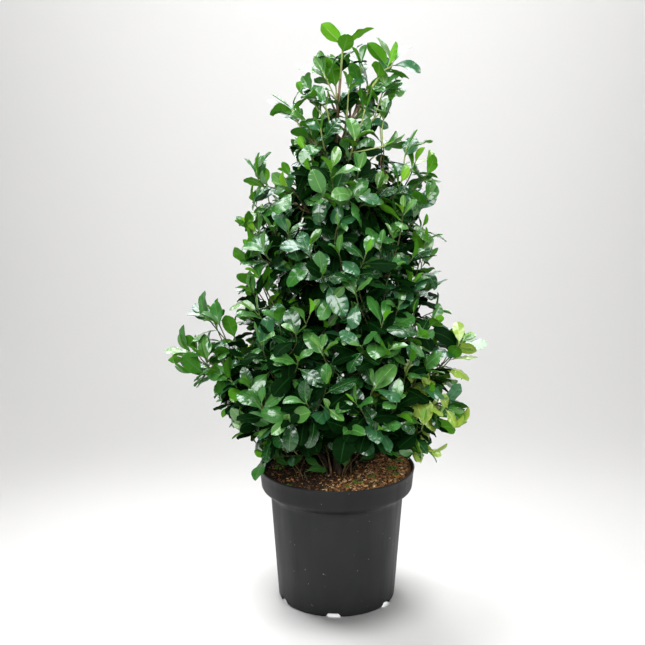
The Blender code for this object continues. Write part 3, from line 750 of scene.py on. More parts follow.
class Spaced:
    """Keeps points at least a distance apart."""

    def __init__(self):
        self.cells = {}

    def free(self, p, gap):
        k = [int(v // 0.08) for v in p]
        for dx in (-1, 0, 1):
            for dy in (-1, 0, 1):
                for dz in (-1, 0, 1):
                    for q in self.cells.get((k[0] + dx, k[1] + dy, k[2] + dz), ()):
                        if (q - p).length < gap:
                            return False
        return True

    def add(self, p):
        self.cells.setdefault(tuple(int(v // 0.08) for v in p), []).append(p)


def lowest(p):
    """The lowest that a shoot's tip may lie: the compost shows under the crown at the front, most of all to the right."""
    if p.y > 0.03:
        return 0.336
    return 0.402 + 0.022 * max(0.0, min(1.0, (p.x + 0.02) / 0.08)) if abs(p.x) < 0.15 else 0.392


def plant():
    rng = RNG
    meshes = {n: mass_mesh(n) for n in MASSES}
    offset, all_co, all_tri = 0, [], []
    for n in MASSES:
        co, tri = meshes[n]
        all_co.append(co)
        all_tri.append(tri + offset)
        offset += len(co)
    everything = BVHTree.FromPolygons(np.concatenate(all_co).tolist(), np.concatenate(all_tri).tolist())
    skin = np.concatenate([surface_points(*meshes[n], 20000, rng)[0] for n in MASSES if n not in SPRAYS])
    leaves, shoots, twigs, net = Leaves(everything, Depth(skin)), Quads(), Quads(), Network()
    made = {}

    # stems and boughs
    wood = Quads()
    lead = leader_path()
    lead_r = [LEADER_FOOT + (LEADER_TIP - LEADER_FOOT) * ((p.z - SOIL_LEVEL) / (1.16 - SOIL_LEVEL)) ** 0.8 for p in lead]
    brown = next(i for i, p in enumerate(lead) if p.z > GREEN_ABOVE)
    old = next(i for i, p in enumerate(lead) if p.z > 0.86)
    wood.add(*tube(lead[:old + 1], lead_r[:old + 1], 16, relief=0.0007, seed=1.0, level_foot=True, flare=0.0036))
    wood.add(*tube(lead[old:brown + 1], lead_r[old:brown + 1], 16, relief=0.0004, seed=1.0), 1)
    net.add(lead, lead_r)
    ends = {"leader_tip": (lead[brown:], lead_r[brown])}
    foot = SOIL_LEVEL + 0.0004
    for k, (name, angle, start, reach, height) in enumerate(SIDE_STEMS):
        c, s = math.cos(math.radians(angle)), math.sin(math.radians(angle))
        route = smooth_path([
            (c * start, s * start, foot), (c * (start + 0.004), s * (start + 0.004), foot + 0.03),
            (c * (start + reach) * 0.55, s * (start + reach) * 0.55, (foot + height) / 2 + 0.012), (c * reach, s * reach, height),
            (c * (reach + 0.03), s * (reach + 0.03), height + 0.07),
        ], 9)
        sizes = [SIDE_STEM_RADIUS * (1 - 0.62 * i / (len(route) - 1)) for i in range(len(route))]
        wood.add(*tube(route, sizes, 12, relief=0.0005, seed=3.0 + k, level_foot=True, flare=0.0018))
        net.add(route, sizes)
    for k, (name, fork, angle, reach, rise, size) in enumerate(BOUGHS):
        c, s = math.cos(math.radians(angle)), math.sin(math.radians(angle))
        at = min(range(len(lead)), key=lambda i: abs(lead[i].z - fork))
        root, thick, out = lead[at], lead_r[at], Vector((c, s, 0))
        begin = root + out * (thick * 0.4)
        route = smooth_path([begin, begin + out * reach * 0.35 + UP * rise * 0.45, begin + out * reach + UP * rise], 11)
        sizes = [size * (1 - 0.50 * i / (len(route) - 1)) for i in range(len(route))]
        net.add(route, sizes)
        if name == "bough_top_right":
            brown = next(i for i, p in enumerate(route) if p.z > GREEN_ABOVE - 0.02)
            ends["right_tip"] = (route[brown:], sizes[brown])
            route, sizes = route[:brown + 1], sizes[:brown + 1]
        wood.add(*tube(route, sizes, 10, relief=0.0003, seed=9.0 + k), 1 if name == "bough_top_right" else 0)
    made["wood"] = wood

    # a branch to the heart of each mass
    order = sorted(MASSES, key=lambda n: (n in SPRAYS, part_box(n)[0].z))
    for number, name in enumerate(order):
        low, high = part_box(name)
        centre = (low + high) / 2
        out = outward(centre)
        spray = name in SPRAYS
        if name in ends:
            continue
        heart = Vector(SPRAYS[name][0]) if spray else centre - out * 0.022 - UP * 0.020
        start, thick = net.fork(heart, 0.03 if spray else 0.05)
        size = min(thick * 0.8, 0.0026 if spray else 0.0034)
        gap = (heart - start).length
        path = bezier(start, start + (out * 0.5 + UP * 0.6).normalized() * gap * 0.35, heart - (out * 0.35 + UP * 0.9).normalized() * gap * 0.30, heart, 9)
        sizes = [size + (0.0017 - size) * i / 9 for i in range(10)]
        twigs.add(*tube(path, sizes, 8, relief=0.00015, seed=20.0 + number))
        net.add(path[2:], sizes[2:])
        along_wood(name, path, leaves, rng)

    # the sprays' own shoots first, then shoots spread over the outside of every mass
    taken, plan = Spaced(), []
    for name, (start, tip) in SPRAYS.items():
        start, tip = Vector(start), Vector(tip)
        axis = (tip - start).normalized()
        droop = axis.z < -0.2
        final = (axis * 0.9 + UP * (0.05 if droop else 0.45)).normalized()
        end = Vector(LEADING_ENDS[name]) if name in ends else tip - axis * (0.052 if name == "low_right_tip" else 0.043)
        if name in SHAPED_BY_NAME:
            continue
        if name in ends:
            path, thick = ends[name]
            grow_leader(name, path, thick, end, leaves, shoots, rng)
        else:
            plan.append((name, end, axis, final, 1.05, 9))
        taken.add(end)
        side = axis.cross(UP).normalized()
        for j, (share, turn) in enumerate(((0.50, -1), (0.62, 1), (0.30, 1))[:2 if (tip - start).length < 0.12 else 3]):
            if name in ends:
                break
            p = start.lerp(tip, share) + side * turn * 0.024 + UP * rng.uniform(-0.004, 0.016)
            way = (axis * 0.5 + side * turn * 0.45 + UP * (0.15 if droop else 0.65)).normalized()
            plan.append((name, p, (axis * 0.4 + side * turn + UP * 0.3).normalized(), way, 0.92, 7))
            taken.add(p)
    for name, tip, way, count, *size in NAMED_SHOOTS:
        tip, way = Vector(tip) + outward(Vector(tip)) * (0.0055 if tip[2] > 0.37 else 0.0), Vector(way).normalized()
        plan.append((name, tip, outward(tip), way, size[0] if size else 1.08, count))
        taken.add(tip)
    for name in order:
        if name in SPRAYS:
            continue
        tier = tier_of(name)
        gap = SHOOT_SPACING * {"top": 1.0, "crest": 1.05}.get(tier, 1.0)
        p, n = surface_points(*meshes[name], 9000, rng)
        for q, m in zip(p, n):
            q, m = Vector(q), Vector(m)
            out = outward(q)
            facing = m.dot(out) * 0.8 + m.z * 0.6
            if facing < -0.15 or (m.z < -0.55 and rng.random() < 0.6):
                continue
            if everything.ray_cast(q + m * 0.003, m, 0.045)[0] is not None:
                continue
            hollow = noise.noise(q * 13.0 + Vector((4.2, 0.0, 1.3)))
            tip = q - m * (0.016 + 0.016 * rng.random() ** 2 + (0.026 if hollow < -0.20 else 0.0))
            if hollow < -0.40 and tier in ("skirt", "lower", "middle"):
                continue
            if tip.z < lowest(tip) or tip.z > 1.072 or not taken.free(tip, gap) or in_gap(tip, UP, 0.012):
                continue
            taken.add(tip)
            rise = 0.80 if m.z > -0.3 else 0.30
            final = (m * 0.42 + out * 0.22 + UP * rise + Vector(rng.normal(0, 0.17, 3))).normalized()
            plan.append((name, tip, m, final, rng.uniform(0.90, 1.10), int(rng.integers(8, 12))))
    print("shoots", len(plan))
    for name, tip, m, final, size, count in plan:
        grow_shoot(name, tip, m, final, size, count, net, leaves, shoots, twigs, rng)
    for foot, base, way, face, long, tone in LOW_LEAVES:
        foot, base, way = Vector(foot), Vector(base), Vector(way).normalized()
        path = bezier(foot, foot + UP * 0.008, base - way * 0.006, base, 6)
        twigs.add(*tube(path, [0.0013, 0.0012, 0.0011, 0.0010, 0.0010, 0.0009, 0.0009], 6), 1)
        leaves.add("skirt_front", base, way, Vector(face).normalized(), long, tone, 0.8, rng)
    for foot, tip, thick in LOW_TWIGS:
        foot, tip = Vector(foot), Vector(tip)
        path = bezier(foot, foot + UP * 0.026, tip - UP * 0.020 + outward(tip) * 0.008, tip, 9)
        twigs.add(*tube(path, [thick * (1 - 0.045 * i) for i in range(10)], 6, relief=0.0001), 0)
    print("leaves", sum(len(r) for r in leaves.rows.values()))
    return leaves, shoots, twigs, made


YELLOWED = {"low_right_spray", "low_right_tip", "right_droop", "left_droop", "skirt_right", "skirt_left"}


def tone_for(name, p, age, fresh, leaves, rng):
    """A leaf's tone: lighter near a shoot's tip and near the top of the plant, and yellowish here and there low down at
    the sides. Deep in the crown it mostly takes the near-black inner tone or the darkest greens, which is painted
    shade.
    """
    high = min(1.0, max(0.0, (p.z - 0.72) / 0.30))
    if name in YELLOWED and p.x > 0.12 and rng.random() < 0.22:
        return (LIME, YOUNG)[rng.choice(2)]
    if age < 0.35:
        return (YOUNG, FRESH, MID)[rng.choice(3, p=(0.30, 0.45, 0.25))] if fresh else (FRESH, MID, GREEN)[rng.choice(3, p=(0.20, 0.40, 0.40))]
    if age < 0.75:
        return (FRESH, MID, GREEN)[rng.choice(3, p=(0.22, 0.38, 0.40))] if fresh or rng.random() < high * 0.5 else (MID, GREEN, DARK)[rng.choice(3, p=(0.15, 0.42, 0.43))]
    r = rng.random()
    if name in YELLOWED and r < (0.34 if p.x > 0.13 else 0.06):
        return LIME
    if r < 0.0004:
        return OLIVE
    # Painted shade: a leaf deep in the crown mostly takes the near-black inner tone or the darkest greens, less often
    # near the top.
    if leaves.depth(p) > 0.041 and rng.random() < 0.90 * (1 - 0.6 * high):
        return (INNER_SHADE, DEEP, BLUE)[rng.choice(3, p=(0.58, 0.30, 0.12))]
    # Mature leaves lean to lighter tones low down and darker ones near the top: partly their own tones, partly painted
    # light low down and painted shade near the top that even out how the light falls from top to bottom.
    low = np.array((0.14, 0.33, 0.30, 0.15, 0.08))
    top = np.array((0.10, 0.28, 0.30, 0.22, 0.10))
    return (MID, GREEN, DARK, BLUE, DEEP)[rng.choice(5, p=low * (1 - high) + top * high)]


def turned_back(p, way, long, outline, stray):
    """The leaf's direction, turned until its tip stays within the outline and a little more."""
    for _ in range(5):
        at, normal, _, _ = outline.find_nearest(p + way * long * 1.08)
        if at is None or (p + way * long * 1.08 - at).dot(normal) < stray:
            break
        way = (way - normal * 0.38 + UP * 0.10).normalized()
    return way


def leaf_at(name, p, axis, phi, spread, age, long, tone, m, leaves, rng, plain=False, stray=0.011, low=False):
    """One leaf on a shoot: phi is its place round the shoot and spread its angle from it. Older leaves turn their upper side to the light."""
    side = axis.cross(Vector((0.3, 0.9, 0.1))).normalized()
    other = axis.cross(side).normalized()
    radial = side * math.cos(phi) + other * math.sin(phi)
    high = min(1.0, max(0.0, (p.z - 0.84) / 0.16))
    spread *= 1 - 0.24 * high
    way = axis * math.cos(spread) + radial * math.sin(spread)
    out = outward(p)
    way = (way + (m * 0.22 + out * 0.10) * age - UP * 0.12 * age).normalized()
    way = Vector((way.x, way.y * 0.66, way.z)).normalized()
    if not plain:
        way = turned_back(p, way, long, leaves.outline, stray)
    for _ in range(4):
        if abs(p.y + way.y * long) > 0.262 and way.y * p.y > 0:
            way = (way - Vector((0, way.y * 0.5, 0)) + UP * 0.1).normalized()
    floor = 0.324 - 0.3365 * min(0.0, p.y + way.y * long) + 0.008 * max(0.0, min(1.0, p.x / 0.05))
    if not low and p.y < 0.02 and -0.105 < p.x < 0.125 and (p + way * long).z < floor:
        if p.z < floor + 0.014:
            return
        way = (way + UP * ((floor - (p + way * long).z) / long + 0.1)).normalized()
    if low:
        for _ in range(4):
            if (p + way * long).z < 0.312:
                way = (way + UP * 0.35).normalized()
        if (p + way * long).x > -0.126 and (p + way * long).z < 0.350:
            long, tone = long * 0.58, DARK if tone in (FRESH, MID, YOUNG) else tone
    if in_gap(p, way, long):
        return
    own = axis - way * axis.dot(way)
    light = UP * 0.85 + out * 0.22 + m * 0.15
    face = own.normalized() * (1.0 - 0.45 * age * (1 - high)) + light * (0.15 + 0.75 * age) * (1 - 0.55 * high) + Vector(rng.normal(0, 0.20, 3))
    face = face - way * face.dot(way)
    if face.length < 0.08:
        face = Vector((0.2, -0.6, 0.7)) - way * way.dot(Vector((0.2, -0.6, 0.7)))
    leaves.add(group_of(name, p.y), p, way, face.normalized(), long, tone, age, rng, plain)


class Rail:
    """A path that gives its point and direction at a distance along it."""

    def __init__(self, path):
        self.path, self.at = path, [0.0]
        for a, b in zip(path, path[1:]):
            self.at.append(self.at[-1] + (b - a).length)
        self.whole = self.at[-1]

    def __call__(self, s):
        s = min(max(s, 0.0), self.whole)
        for i in range(len(self.path) - 1):
            if s <= self.at[i + 1]:
                t = (s - self.at[i]) / max(self.at[i + 1] - self.at[i], 1e-9)
                return self.path[i].lerp(self.path[i + 1], t), (self.path[i + 1] - self.path[i]).normalized()
        return self.path[-1], (self.path[-1] - self.path[-2]).normalized()


def grow_leader(name, path, thick, end, leaves, shoots, rng):
    """The green top of a leading stem, with its leaves well apart."""
    way = (path[-1] - path[-2]).normalized()
    path = path + bezier(path[-1], path[-1] + way * 0.01, end - UP * 0.012, end, 4)[1:]
    rail = Rail(path)
    n = len(path)
    shoots.add(*tube(path, [thick + (0.0013 - thick) * i / (n - 1) for i in range(n)], 8))
    long = LEAF_LENGTH[tier_of(name)]
    for back, way, face, size, tone in TOP_LEAVES[name]:
        p, axis = rail(rail.whole - back)
        leaves.add(group_of(name, p.y), p, Vector(way).normalized(), Vector(face).normalized(), size, tone, 0.45, rng)
    s, step, k, turn = rail.whole - 0.0150, 0.0060, 3, 0.1 if name == "leader_tip" else 3.4
    while s > 0.004:
        age = min(1.0, (k + 0.3) / 6)
        p, axis = rail(s)
        spread = math.radians(54 + 14 * min(1.0, k / 4) + rng.normal(0, 6))
        leaf_at(name, p, axis, turn + k * math.radians(137.5), spread, age, long * (0.78 + 0.22 * min(1.0, k / 2)) * rng.uniform(0.92, 1.1), tone_for(name, p, age, True, leaves, rng), axis, leaves, rng, stray=0.06)
        s -= step
        step = min(step + 0.0034, 0.0104)
        k += 1


def grow_shoot(name, tip, m, final, size, count, net, leaves, shoots, twigs, rng, fresh=None):
    out = outward(tip)
    start, thick = net.fork(tip - final * 0.10, 0.0, steep=1.2)
    gap = (tip - start).length
    if gap < 0.05:
        start = tip - (final * 0.6 + UP * 0.4).normalized() * 0.07
        gap = 0.07
    lean = (tip - start).normalized()
    path = bezier(start, start + (lean * 0.75 + out * 0.2).normalized() * gap * 0.38, tip - final * gap * 0.36, tip, 12)
    base_r = min(thick * 0.8, 0.0024)
    radii = [base_r + (0.0012 - base_r) * (i / 12) ** 0.9 for i in range(13)]
    rail = Rail(path)
    # green near the tip, browner below
    cut = 6 if tip.z > 0.95 else 9
    # Shoots whose tip lies below 0.95 m take a much darker copy of the green shoot bark: painted shade.
    shoots.add(*tube(path[cut - 1:], radii[cut - 1:], 6), 0 if tip.z > 0.95 else 1)
    twigs.add(*tube(path[:cut], radii[:cut], 6), 1)

    if fresh is None:
        fresh = rng.random() < (0.18 if tip.z < 0.8 else 0.42)
    least, low = 0.36 if tip.z < 0.9 else 0.56, tip.z < 0.37 and tip.y < 0.02
    mature = LEAF_LENGTH[tier_of(name)] * size
    turn = rng.uniform(0, 2 * math.pi)
    s, step, k = rail.whole + 0.001, 0.0050, 0
    while s > 0.10 * rail.whole:
        age = min(1.0, (k + 0.3) / (4.5 if fresh else 3.0))
        p, axis = rail(s)
        spread = math.radians(22 + 46 * min(1.0, k / 4.5) + rng.normal(0, 8))
        phi = turn + k * math.radians(137.5) + rng.normal(0, 0.2)
        if k < count:
            long = mature * (least + (1 - least) * min(1.0, (k + 1) / 3.6)) * rng.uniform(0.86, 1.16)
            leaf_at(name, p, axis, phi, spread, age, long, tone_for(name, p, age, fresh, leaves, rng), m, leaves, rng, low=low)
        elif tip.z < 1.0:
            # Plain leaves further down the shoot: deep in the crown they mostly take the near-black inner tone, painted
            # shade.
            deep = leaves.depth(p) > 0.043
            leaf_at(name, p, axis, phi, spread, 1.0, mature * rng.uniform(0.85, 1.1), (INNER_SHADE, INNER_SHADE, INNER_SHADE, DEEP)[rng.choice(4)] if deep else (DEEP, BLUE, DARK)[rng.choice(3)], m, leaves, rng, plain=True)
        s -= step
        step = min(step + 0.0030, 0.0150 if k < count else 0.0095)
        k += 1


def along_wood(name, path, leaves, rng):
    """Older leaves in the depth of a mass, along the branch to its heart, in the near-black inner tone or the darkest
    green: painted shade.
    """
    turn = rng.uniform(0, 2 * math.pi)
    whole = sum((b - a).length for a, b in zip(path, path[1:]))
    count = 2 if tier_of(name) == "top" else max(4, int(whole / (0.011 if tier_of(name) == "crest" else 0.0055)))
    for k in range(count):
        share = 0.25 + 0.75 * k / count
        i = min(int(share * (len(path) - 1)), len(path) - 2)
        p = path[i].lerp(path[i + 1], share * (len(path) - 1) - i)
        axis = (path[i + 1] - path[i]).normalized()
        leaf_at(name, p, axis, turn + k * 2.4, math.radians(rng.uniform(50, 90)), 1.0, LEAF_LENGTH[tier_of(name)] * rng.uniform(0.85, 1.15), (INNER_SHADE, DEEP)[rng.choice(2)], outward(p), leaves, rng, plain=True)


# ---------------------------------------------------------------- pot and compost
def pot_profile():
    foot = POT_HEIGHT - POT_COLLAR
    r, w, b = POT_RIM_RADIUS, POT_WALL, POT_BODY_TOP
    outside = [
        (POT_BASE - 0.0045, 0.0), (POT_BASE - 0.0018, 0.0006), (POT_BASE - 0.0004, 0.0022), (POT_BASE + 0.0001, 0.0050),
        (POT_BASE + 0.0012, 0.020), (0.5 * (POT_BASE + b), foot * 0.5), (b - 0.0010, foot - 0.016),
        (b - 0.0002, foot - 0.0085), (b + 0.0012, foot - 0.0065), (b + 0.0062, foot - 0.0010), (b + 0.0078, foot + 0.0003),
        (r - 0.0110, foot + 0.0022), (r - 0.0068, foot + 0.0060), (r - 0.0050, foot + 0.0095), (r - 0.0044, foot + 0.0130),
        (r - 0.0026, POT_HEIGHT - 0.018), (r - 0.0014, POT_HEIGHT - 0.0065), (r - 0.0004, POT_HEIGHT - 0.0040), (r - 0.0001, POT_HEIGHT - 0.0022), (r - 0.0007, POT_HEIGHT - 0.0005), (r - 0.0016, POT_HEIGHT),
    ]
    inside = [
        (r - 0.0028, POT_HEIGHT - 0.0002), (r - 0.0035, POT_HEIGHT - 0.0014), (r - 0.0050, POT_HEIGHT - 0.012),
        (r - 0.0045 - w, foot + 0.0130), (r - 0.0085 - w, foot + 0.0078), (b + 0.0065 - w, foot + 0.0030), (b - w, foot - 0.0035),
        (POT_BASE - w, POT_FLOOR + 0.002), (POT_BASE - w - 0.002, POT_FLOOR),
    ]
    return [(0.0, 0.0)] + outside + inside + [(0.0, POT_FLOOR)]


def make_pot():
    bm = bmesh.new()
    points = [bm.verts.new((r, 0, z)) for r, z in pot_profile()]
    edges = [bm.edges.new(pair) for pair in zip(points, points[1:])]
    bmesh.ops.spin(bm, geom=points + edges, axis=(0, 0, 1), cent=(0, 0, 0), angle=2 * math.pi, steps=144, use_duplicate=False)
    bmesh.ops.remove_doubles(bm, verts=bm.verts, dist=1e-5)
    bmesh.ops.recalc_face_normals(bm, faces=bm.faces)
    mesh = bpy.data.meshes.new("pot_shell")
    bm.to_mesh(mesh)
    bm.free()
    pot = bpy.data.objects.new("pot_shell", mesh)
    bpy.context.scene.collection.objects.link(pot)

    cutter = bmesh.new()
    for i in range(NOTCHES):
        wedge = bmesh.ops.create_cube(cutter, size=1.0)["verts"]
        for v in wedge:
            width = 0.020 if v.co.z > 0 else 0.048
            v.co = Vector((POT_BASE + 0.02 if v.co.x > 0 else POT_BASE - 0.017, math.copysign(width / 2, v.co.y), NOTCH_HEIGHT if v.co.z > 0 else -0.009))
        bmesh.ops.transform(cutter, matrix=Matrix.Rotation(math.radians(NOTCH_FIRST + i * 60), 4, "Z"), verts=wedge)
    cm = bpy.data.meshes.new("notches")
    cutter.to_mesh(cm)
    cutter.free()
    notch = bpy.data.objects.new("notches", cm)
    bpy.context.scene.collection.objects.link(notch)
    cut = pot.modifiers.new("notches", "BOOLEAN")
    cut.operation, cut.solver, cut.object = "DIFFERENCE", "EXACT", notch
    bpy.context.view_layer.update()
    done = bpy.data.meshes.new_from_object(pot.evaluated_get(bpy.context.evaluated_depsgraph_get()))
    pot.modifiers.clear()
    pot.data = done
    bpy.data.objects.remove(notch, do_unlink=True)
    done.name = "pot_shell"
    done.shade_smooth()
    done.set_sharp_from_angle(angle=math.radians(38))
    done.materials.clear()
    done.materials.append(pot_material())
    return pot


def soil_height(x, y):
    r = math.hypot(x, y)
    away = min(1.0, max(0.0, (r - SOIL_FLAT) / 0.05))
    away = away * away * (3 - 2 * away)
    rise = SOIL_TILT * (0.75 * x + 0.65 * y) / POT_RIM_RADIUS
    slow = 0.0025 * noise.noise(Vector((x * 28, y * 28, 3.1)))
    quick = 0.0014 * noise.noise(Vector((x * 110, y * 110, 7.7))) + 0.0008 * noise.noise(Vector((x * 320, y * 320, 1.7)))
    return SOIL_LEVEL + away * (rise + slow - 0.001) + quick


def make_soil():
    rim = POT_RIM_RADIUS - 0.0060 - 0.0008
    rings, sides = 60, 180
    verts, faces = [], []
    for i in range(rings + 1):
        r = rim * (i / rings) if i else 0.0004
        for k in range(sides):
            a = 2 * math.pi * k / sides
            x, y = r * math.cos(a), r * math.sin(a)
            verts.append((x, y, soil_height(x, y)))
    for drop in (0.016, 0.028):
        for k in range(sides):
            a = 2 * math.pi * k / sides
            x, y = rim * math.cos(a), rim * math.sin(a)
            shrink = 1.0 if drop < 0.02 else 0.94
            verts.append((x * shrink, y * shrink, SOIL_LEVEL - drop))
    total = rings + 3
    for i in range(total - 1):
        for k in range(sides):
            a, b = i * sides + k, i * sides + (k + 1) % sides
            faces.append((a, a + sides, b + sides, b))
    ob = make_object("compost_top", verts, faces, [compost_material()])
    bm = bmesh.new()
    bm.from_mesh(ob.data)
    edges = [e for e in bm.edges if e.is_boundary]
    bmesh.ops.holes_fill(bm, edges=edges, sides=0)
    bmesh.ops.recalc_face_normals(bm, faces=bm.faces)
    bm.to_mesh(ob.data)
    bm.free()
    ob.data.shade_smooth()
    return ob


BIT_FACES = np.array([(0, 3, 2, 1), (4, 5, 6, 7), (0, 1, 5, 4), (1, 2, 6, 5), (2, 3, 7, 6), (3, 0, 4, 7)])


def make_bits(count, rng):
    """Bark chips, coir and pale crumbs lying in the compost."""
    bits = Quads()
    for _ in range(count):
        r = (POT_RIM_RADIUS - 0.014) * math.sqrt(rng.random())
        a = rng.uniform(0, 2 * math.pi)
        x, y = r * math.cos(a), r * math.sin(a)
        # Painted shade: away from the right and the front, nearly black bits are picked far more often.
        unshaded = min(1.0, max(0.0, (x * UNSHADED_WAY[0] + y * UNSHADED_WAY[1] - UNSHADED_FROM) / (UNSHADED_TO - UNSHADED_FROM)))
        kind = rng.choice(5, p=(0.24, 0.20, 0.20, 0.20, 0.16) if rng.random() < 0.10 + 0.90 * unshaded else (0.13, 0.015, 0.005, 0.84, 0.01))
        long = rng.uniform(0.0018, 0.0070) if kind != 4 else rng.uniform(0.007, 0.015)
        wide = long * rng.uniform(0.35, 0.8) if kind != 4 else rng.uniform(0.0007, 0.0013)
        high = min(wide, long) * rng.uniform(0.25, 0.6)
        box = np.array([(-1, -1, -1), (1, -1, -1), (1, 1, -1), (-1, 1, -1), (-1, -1, 1), (1, -1, 1), (1, 1, 1), (-1, 1, 1)], float)
        box *= np.array([long / 2, wide / 2, high / 2]) * rng.uniform(0.72, 1.25, (8, 3))
        turn = Matrix.Rotation(rng.uniform(0, 6.3), 3, "Z") @ Matrix.Rotation(rng.normal(0, 0.30), 3, "X") @ Matrix.Rotation(rng.normal(0, 0.30), 3, "Y")
        box = box @ np.array(turn).T + np.array([x, y, soil_height(x, y) + high * 0.22])
        bits.add(box, BIT_FACES, int(kind))
    mats = [
        bits_material("bark_brown", (0.110, 0.045, 0.018), (0.280, 0.125, 0.045)),
        bits_material("bark_orange", (0.300, 0.110, 0.030), (0.560, 0.250, 0.075)),
        bits_material("bark_tan", (0.450, 0.270, 0.120), (0.740, 0.520, 0.290)),
        bits_material("bark_black", (0.012, 0.008, 0.005), (0.055, 0.032, 0.018)),
        bits_material("coir", (0.300, 0.160, 0.060), (0.620, 0.400, 0.190)),
    ]
    return bits.object("compost_bits", mats, smooth=False)


def make_moss(rng):
    """Cushions of moss and small round-leaved seedlings on the compost."""
    moss = Quads()
    spots = [(0.044, -0.068, 0.011), (0.073, -0.044, 0.009), (0.116, -0.002, 0.012), (0.126, -0.032, 0.008), (0.100, 0.104, 0.014), (0.062, 0.060, 0.012),
             (-0.050, 0.120, 0.016), (0.020, 0.128, 0.012), (-0.125, 0.030, 0.012), (-0.100, -0.070, 0.008), (0.024, -0.090, 0.007), (0.134, 0.040, 0.010)]
    for cx, cy, size in spots:
        for _ in range(int(46 * (size / 0.012) ** 2)):
            d, a = size * math.sqrt(rng.random()), rng.uniform(0, 6.3)
            x, y = cx + d * math.cos(a), cy + d * math.sin(a)
            if math.hypot(x, y) > POT_RIM_RADIUS - 0.012:
                continue
            r = rng.uniform(0.0011, 0.0024)
            turn = Matrix.Rotation(rng.uniform(0, 6.3), 3, "Z") @ Matrix.Rotation(rng.normal(0, 0.45), 3, "X")
            disc = np.array([(-1, -0.6, 0), (0.1, -1, 0.2), (1, -0.4, 0), (1, 0.6, 0.25), (-0.1, 1, 0), (-1, 0.5, 0.2),
                             (-1, -0.6, -0.5), (0.1, -1, -0.4), (1, -0.4, -0.5), (1, 0.6, -0.4), (-0.1, 1, -0.5), (-1, 0.5, -0.4)]) * r
            z = soil_height(x, y) + 0.0010 + rng.uniform(0, 0.0028) * (1 - d / size)
            f = [(0, 1, 2, 5), (5, 2, 3, 4), (11, 8, 7, 6), (10, 9, 8, 11)] + [(k + 6, (k + 1) % 6 + 6, (k + 1) % 6, k) for k in range(6)]
            moss.add(disc @ np.array(turn).T + np.array([x, y, z]), f, int(rng.random() < 0.4))
    mats = [bits_material("moss_green", (0.030, 0.075, 0.010), (0.080, 0.170, 0.022)), bits_material("moss_bright", (0.060, 0.140, 0.018), (0.140, 0.260, 0.040))]
    return moss.object("moss", mats, smooth=False)


# ---------------------------------------------------------------- studio
def make_stage():
    """A pale floor that curves up into a pale wall behind."""
    profile = [(-3.6, 0.0), (-1.5, 0.0), (-0.3, 0.0), (0.7, 0.0)]
    cove = 1.5
    for i in range(1, 25):
        a = math.radians(90 * i / 24)
        profile.append((0.7 + cove * math.sin(a), cove * (1 - math.cos(a))))
    profile += [(0.7 + cove, 3.0), (0.7 + cove, 5.5)]
    xs = np.linspace(-6, 6, 13)
    verts = [(x, y, z - 0.0003) for y, z in profile for x in xs]
    n = len(xs)
    faces = [(i * n + k, i * n + k + 1, (i + 1) * n + k + 1, (i + 1) * n + k) for i in range(len(profile) - 1) for k in range(n - 1)]
    m, tree, p = principled("studio_paper", (0.73, 0.72, 0.71), 0.9, Specular_IOR_Level=0.1)
    # the paper has an upper side only, so it doesn't hide the plant from behind
    clear, either = add(tree, "ShaderNodeBsdfTransparent"), add(tree, "ShaderNodeMixShader")
    tree.links.new(add(tree, "ShaderNodeNewGeometry").outputs["Backfacing"], either.inputs[0])
    tree.links.new(p.outputs[0], either.inputs[1])
    tree.links.new(clear.outputs[0], either.inputs[2])
    out = next(node for node in tree.nodes if node.type == "OUTPUT_MATERIAL")
    tree.links.new(either.outputs[0], out.inputs["Surface"])
    ob = make_object("studio", verts, faces, [m])
    ob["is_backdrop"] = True
    return ob


def area_light(name, place, aim, size, power, colour, spread=180, gloss=True, matt=True):
    data = bpy.data.lights.new(name, "AREA")
    data.spread = math.radians(spread)
    data.shape, data.size, data.energy, data.color = "DISK", size, power, colour
    ob = bpy.data.objects.new(name, data)
    ob.location = place
    ob.rotation_euler = (Vector(aim) - Vector(place)).to_track_quat("-Z", "Y").to_euler()
    ob.visible_camera, ob.visible_glossy, ob.visible_diffuse = False, gloss, matt
    bpy.context.scene.collection.objects.link(ob)
    return ob


def limit(light, name, lit=(), spared=(), casting=()):
    """Says what a light falls on or is kept off, and what casts a shadow in it."""
    if lit or spared:
        group = bpy.data.collections.new(f"{name}_falls_on")
        light.light_linking.receiver_collection = group
        for ob in (*lit, *spared):
            group.objects.link(ob)
        for k, ob in enumerate((*lit, *spared)):
            group.collection_objects[k].light_linking.link_state = "INCLUDE" if k < len(lit) else "EXCLUDE"
    if casting:
        group = bpy.data.collections.new(f"{name}_is_cut_off_by")
        light.light_linking.blocker_collection = group
        for ob in casting:
            group.objects.link(ob)


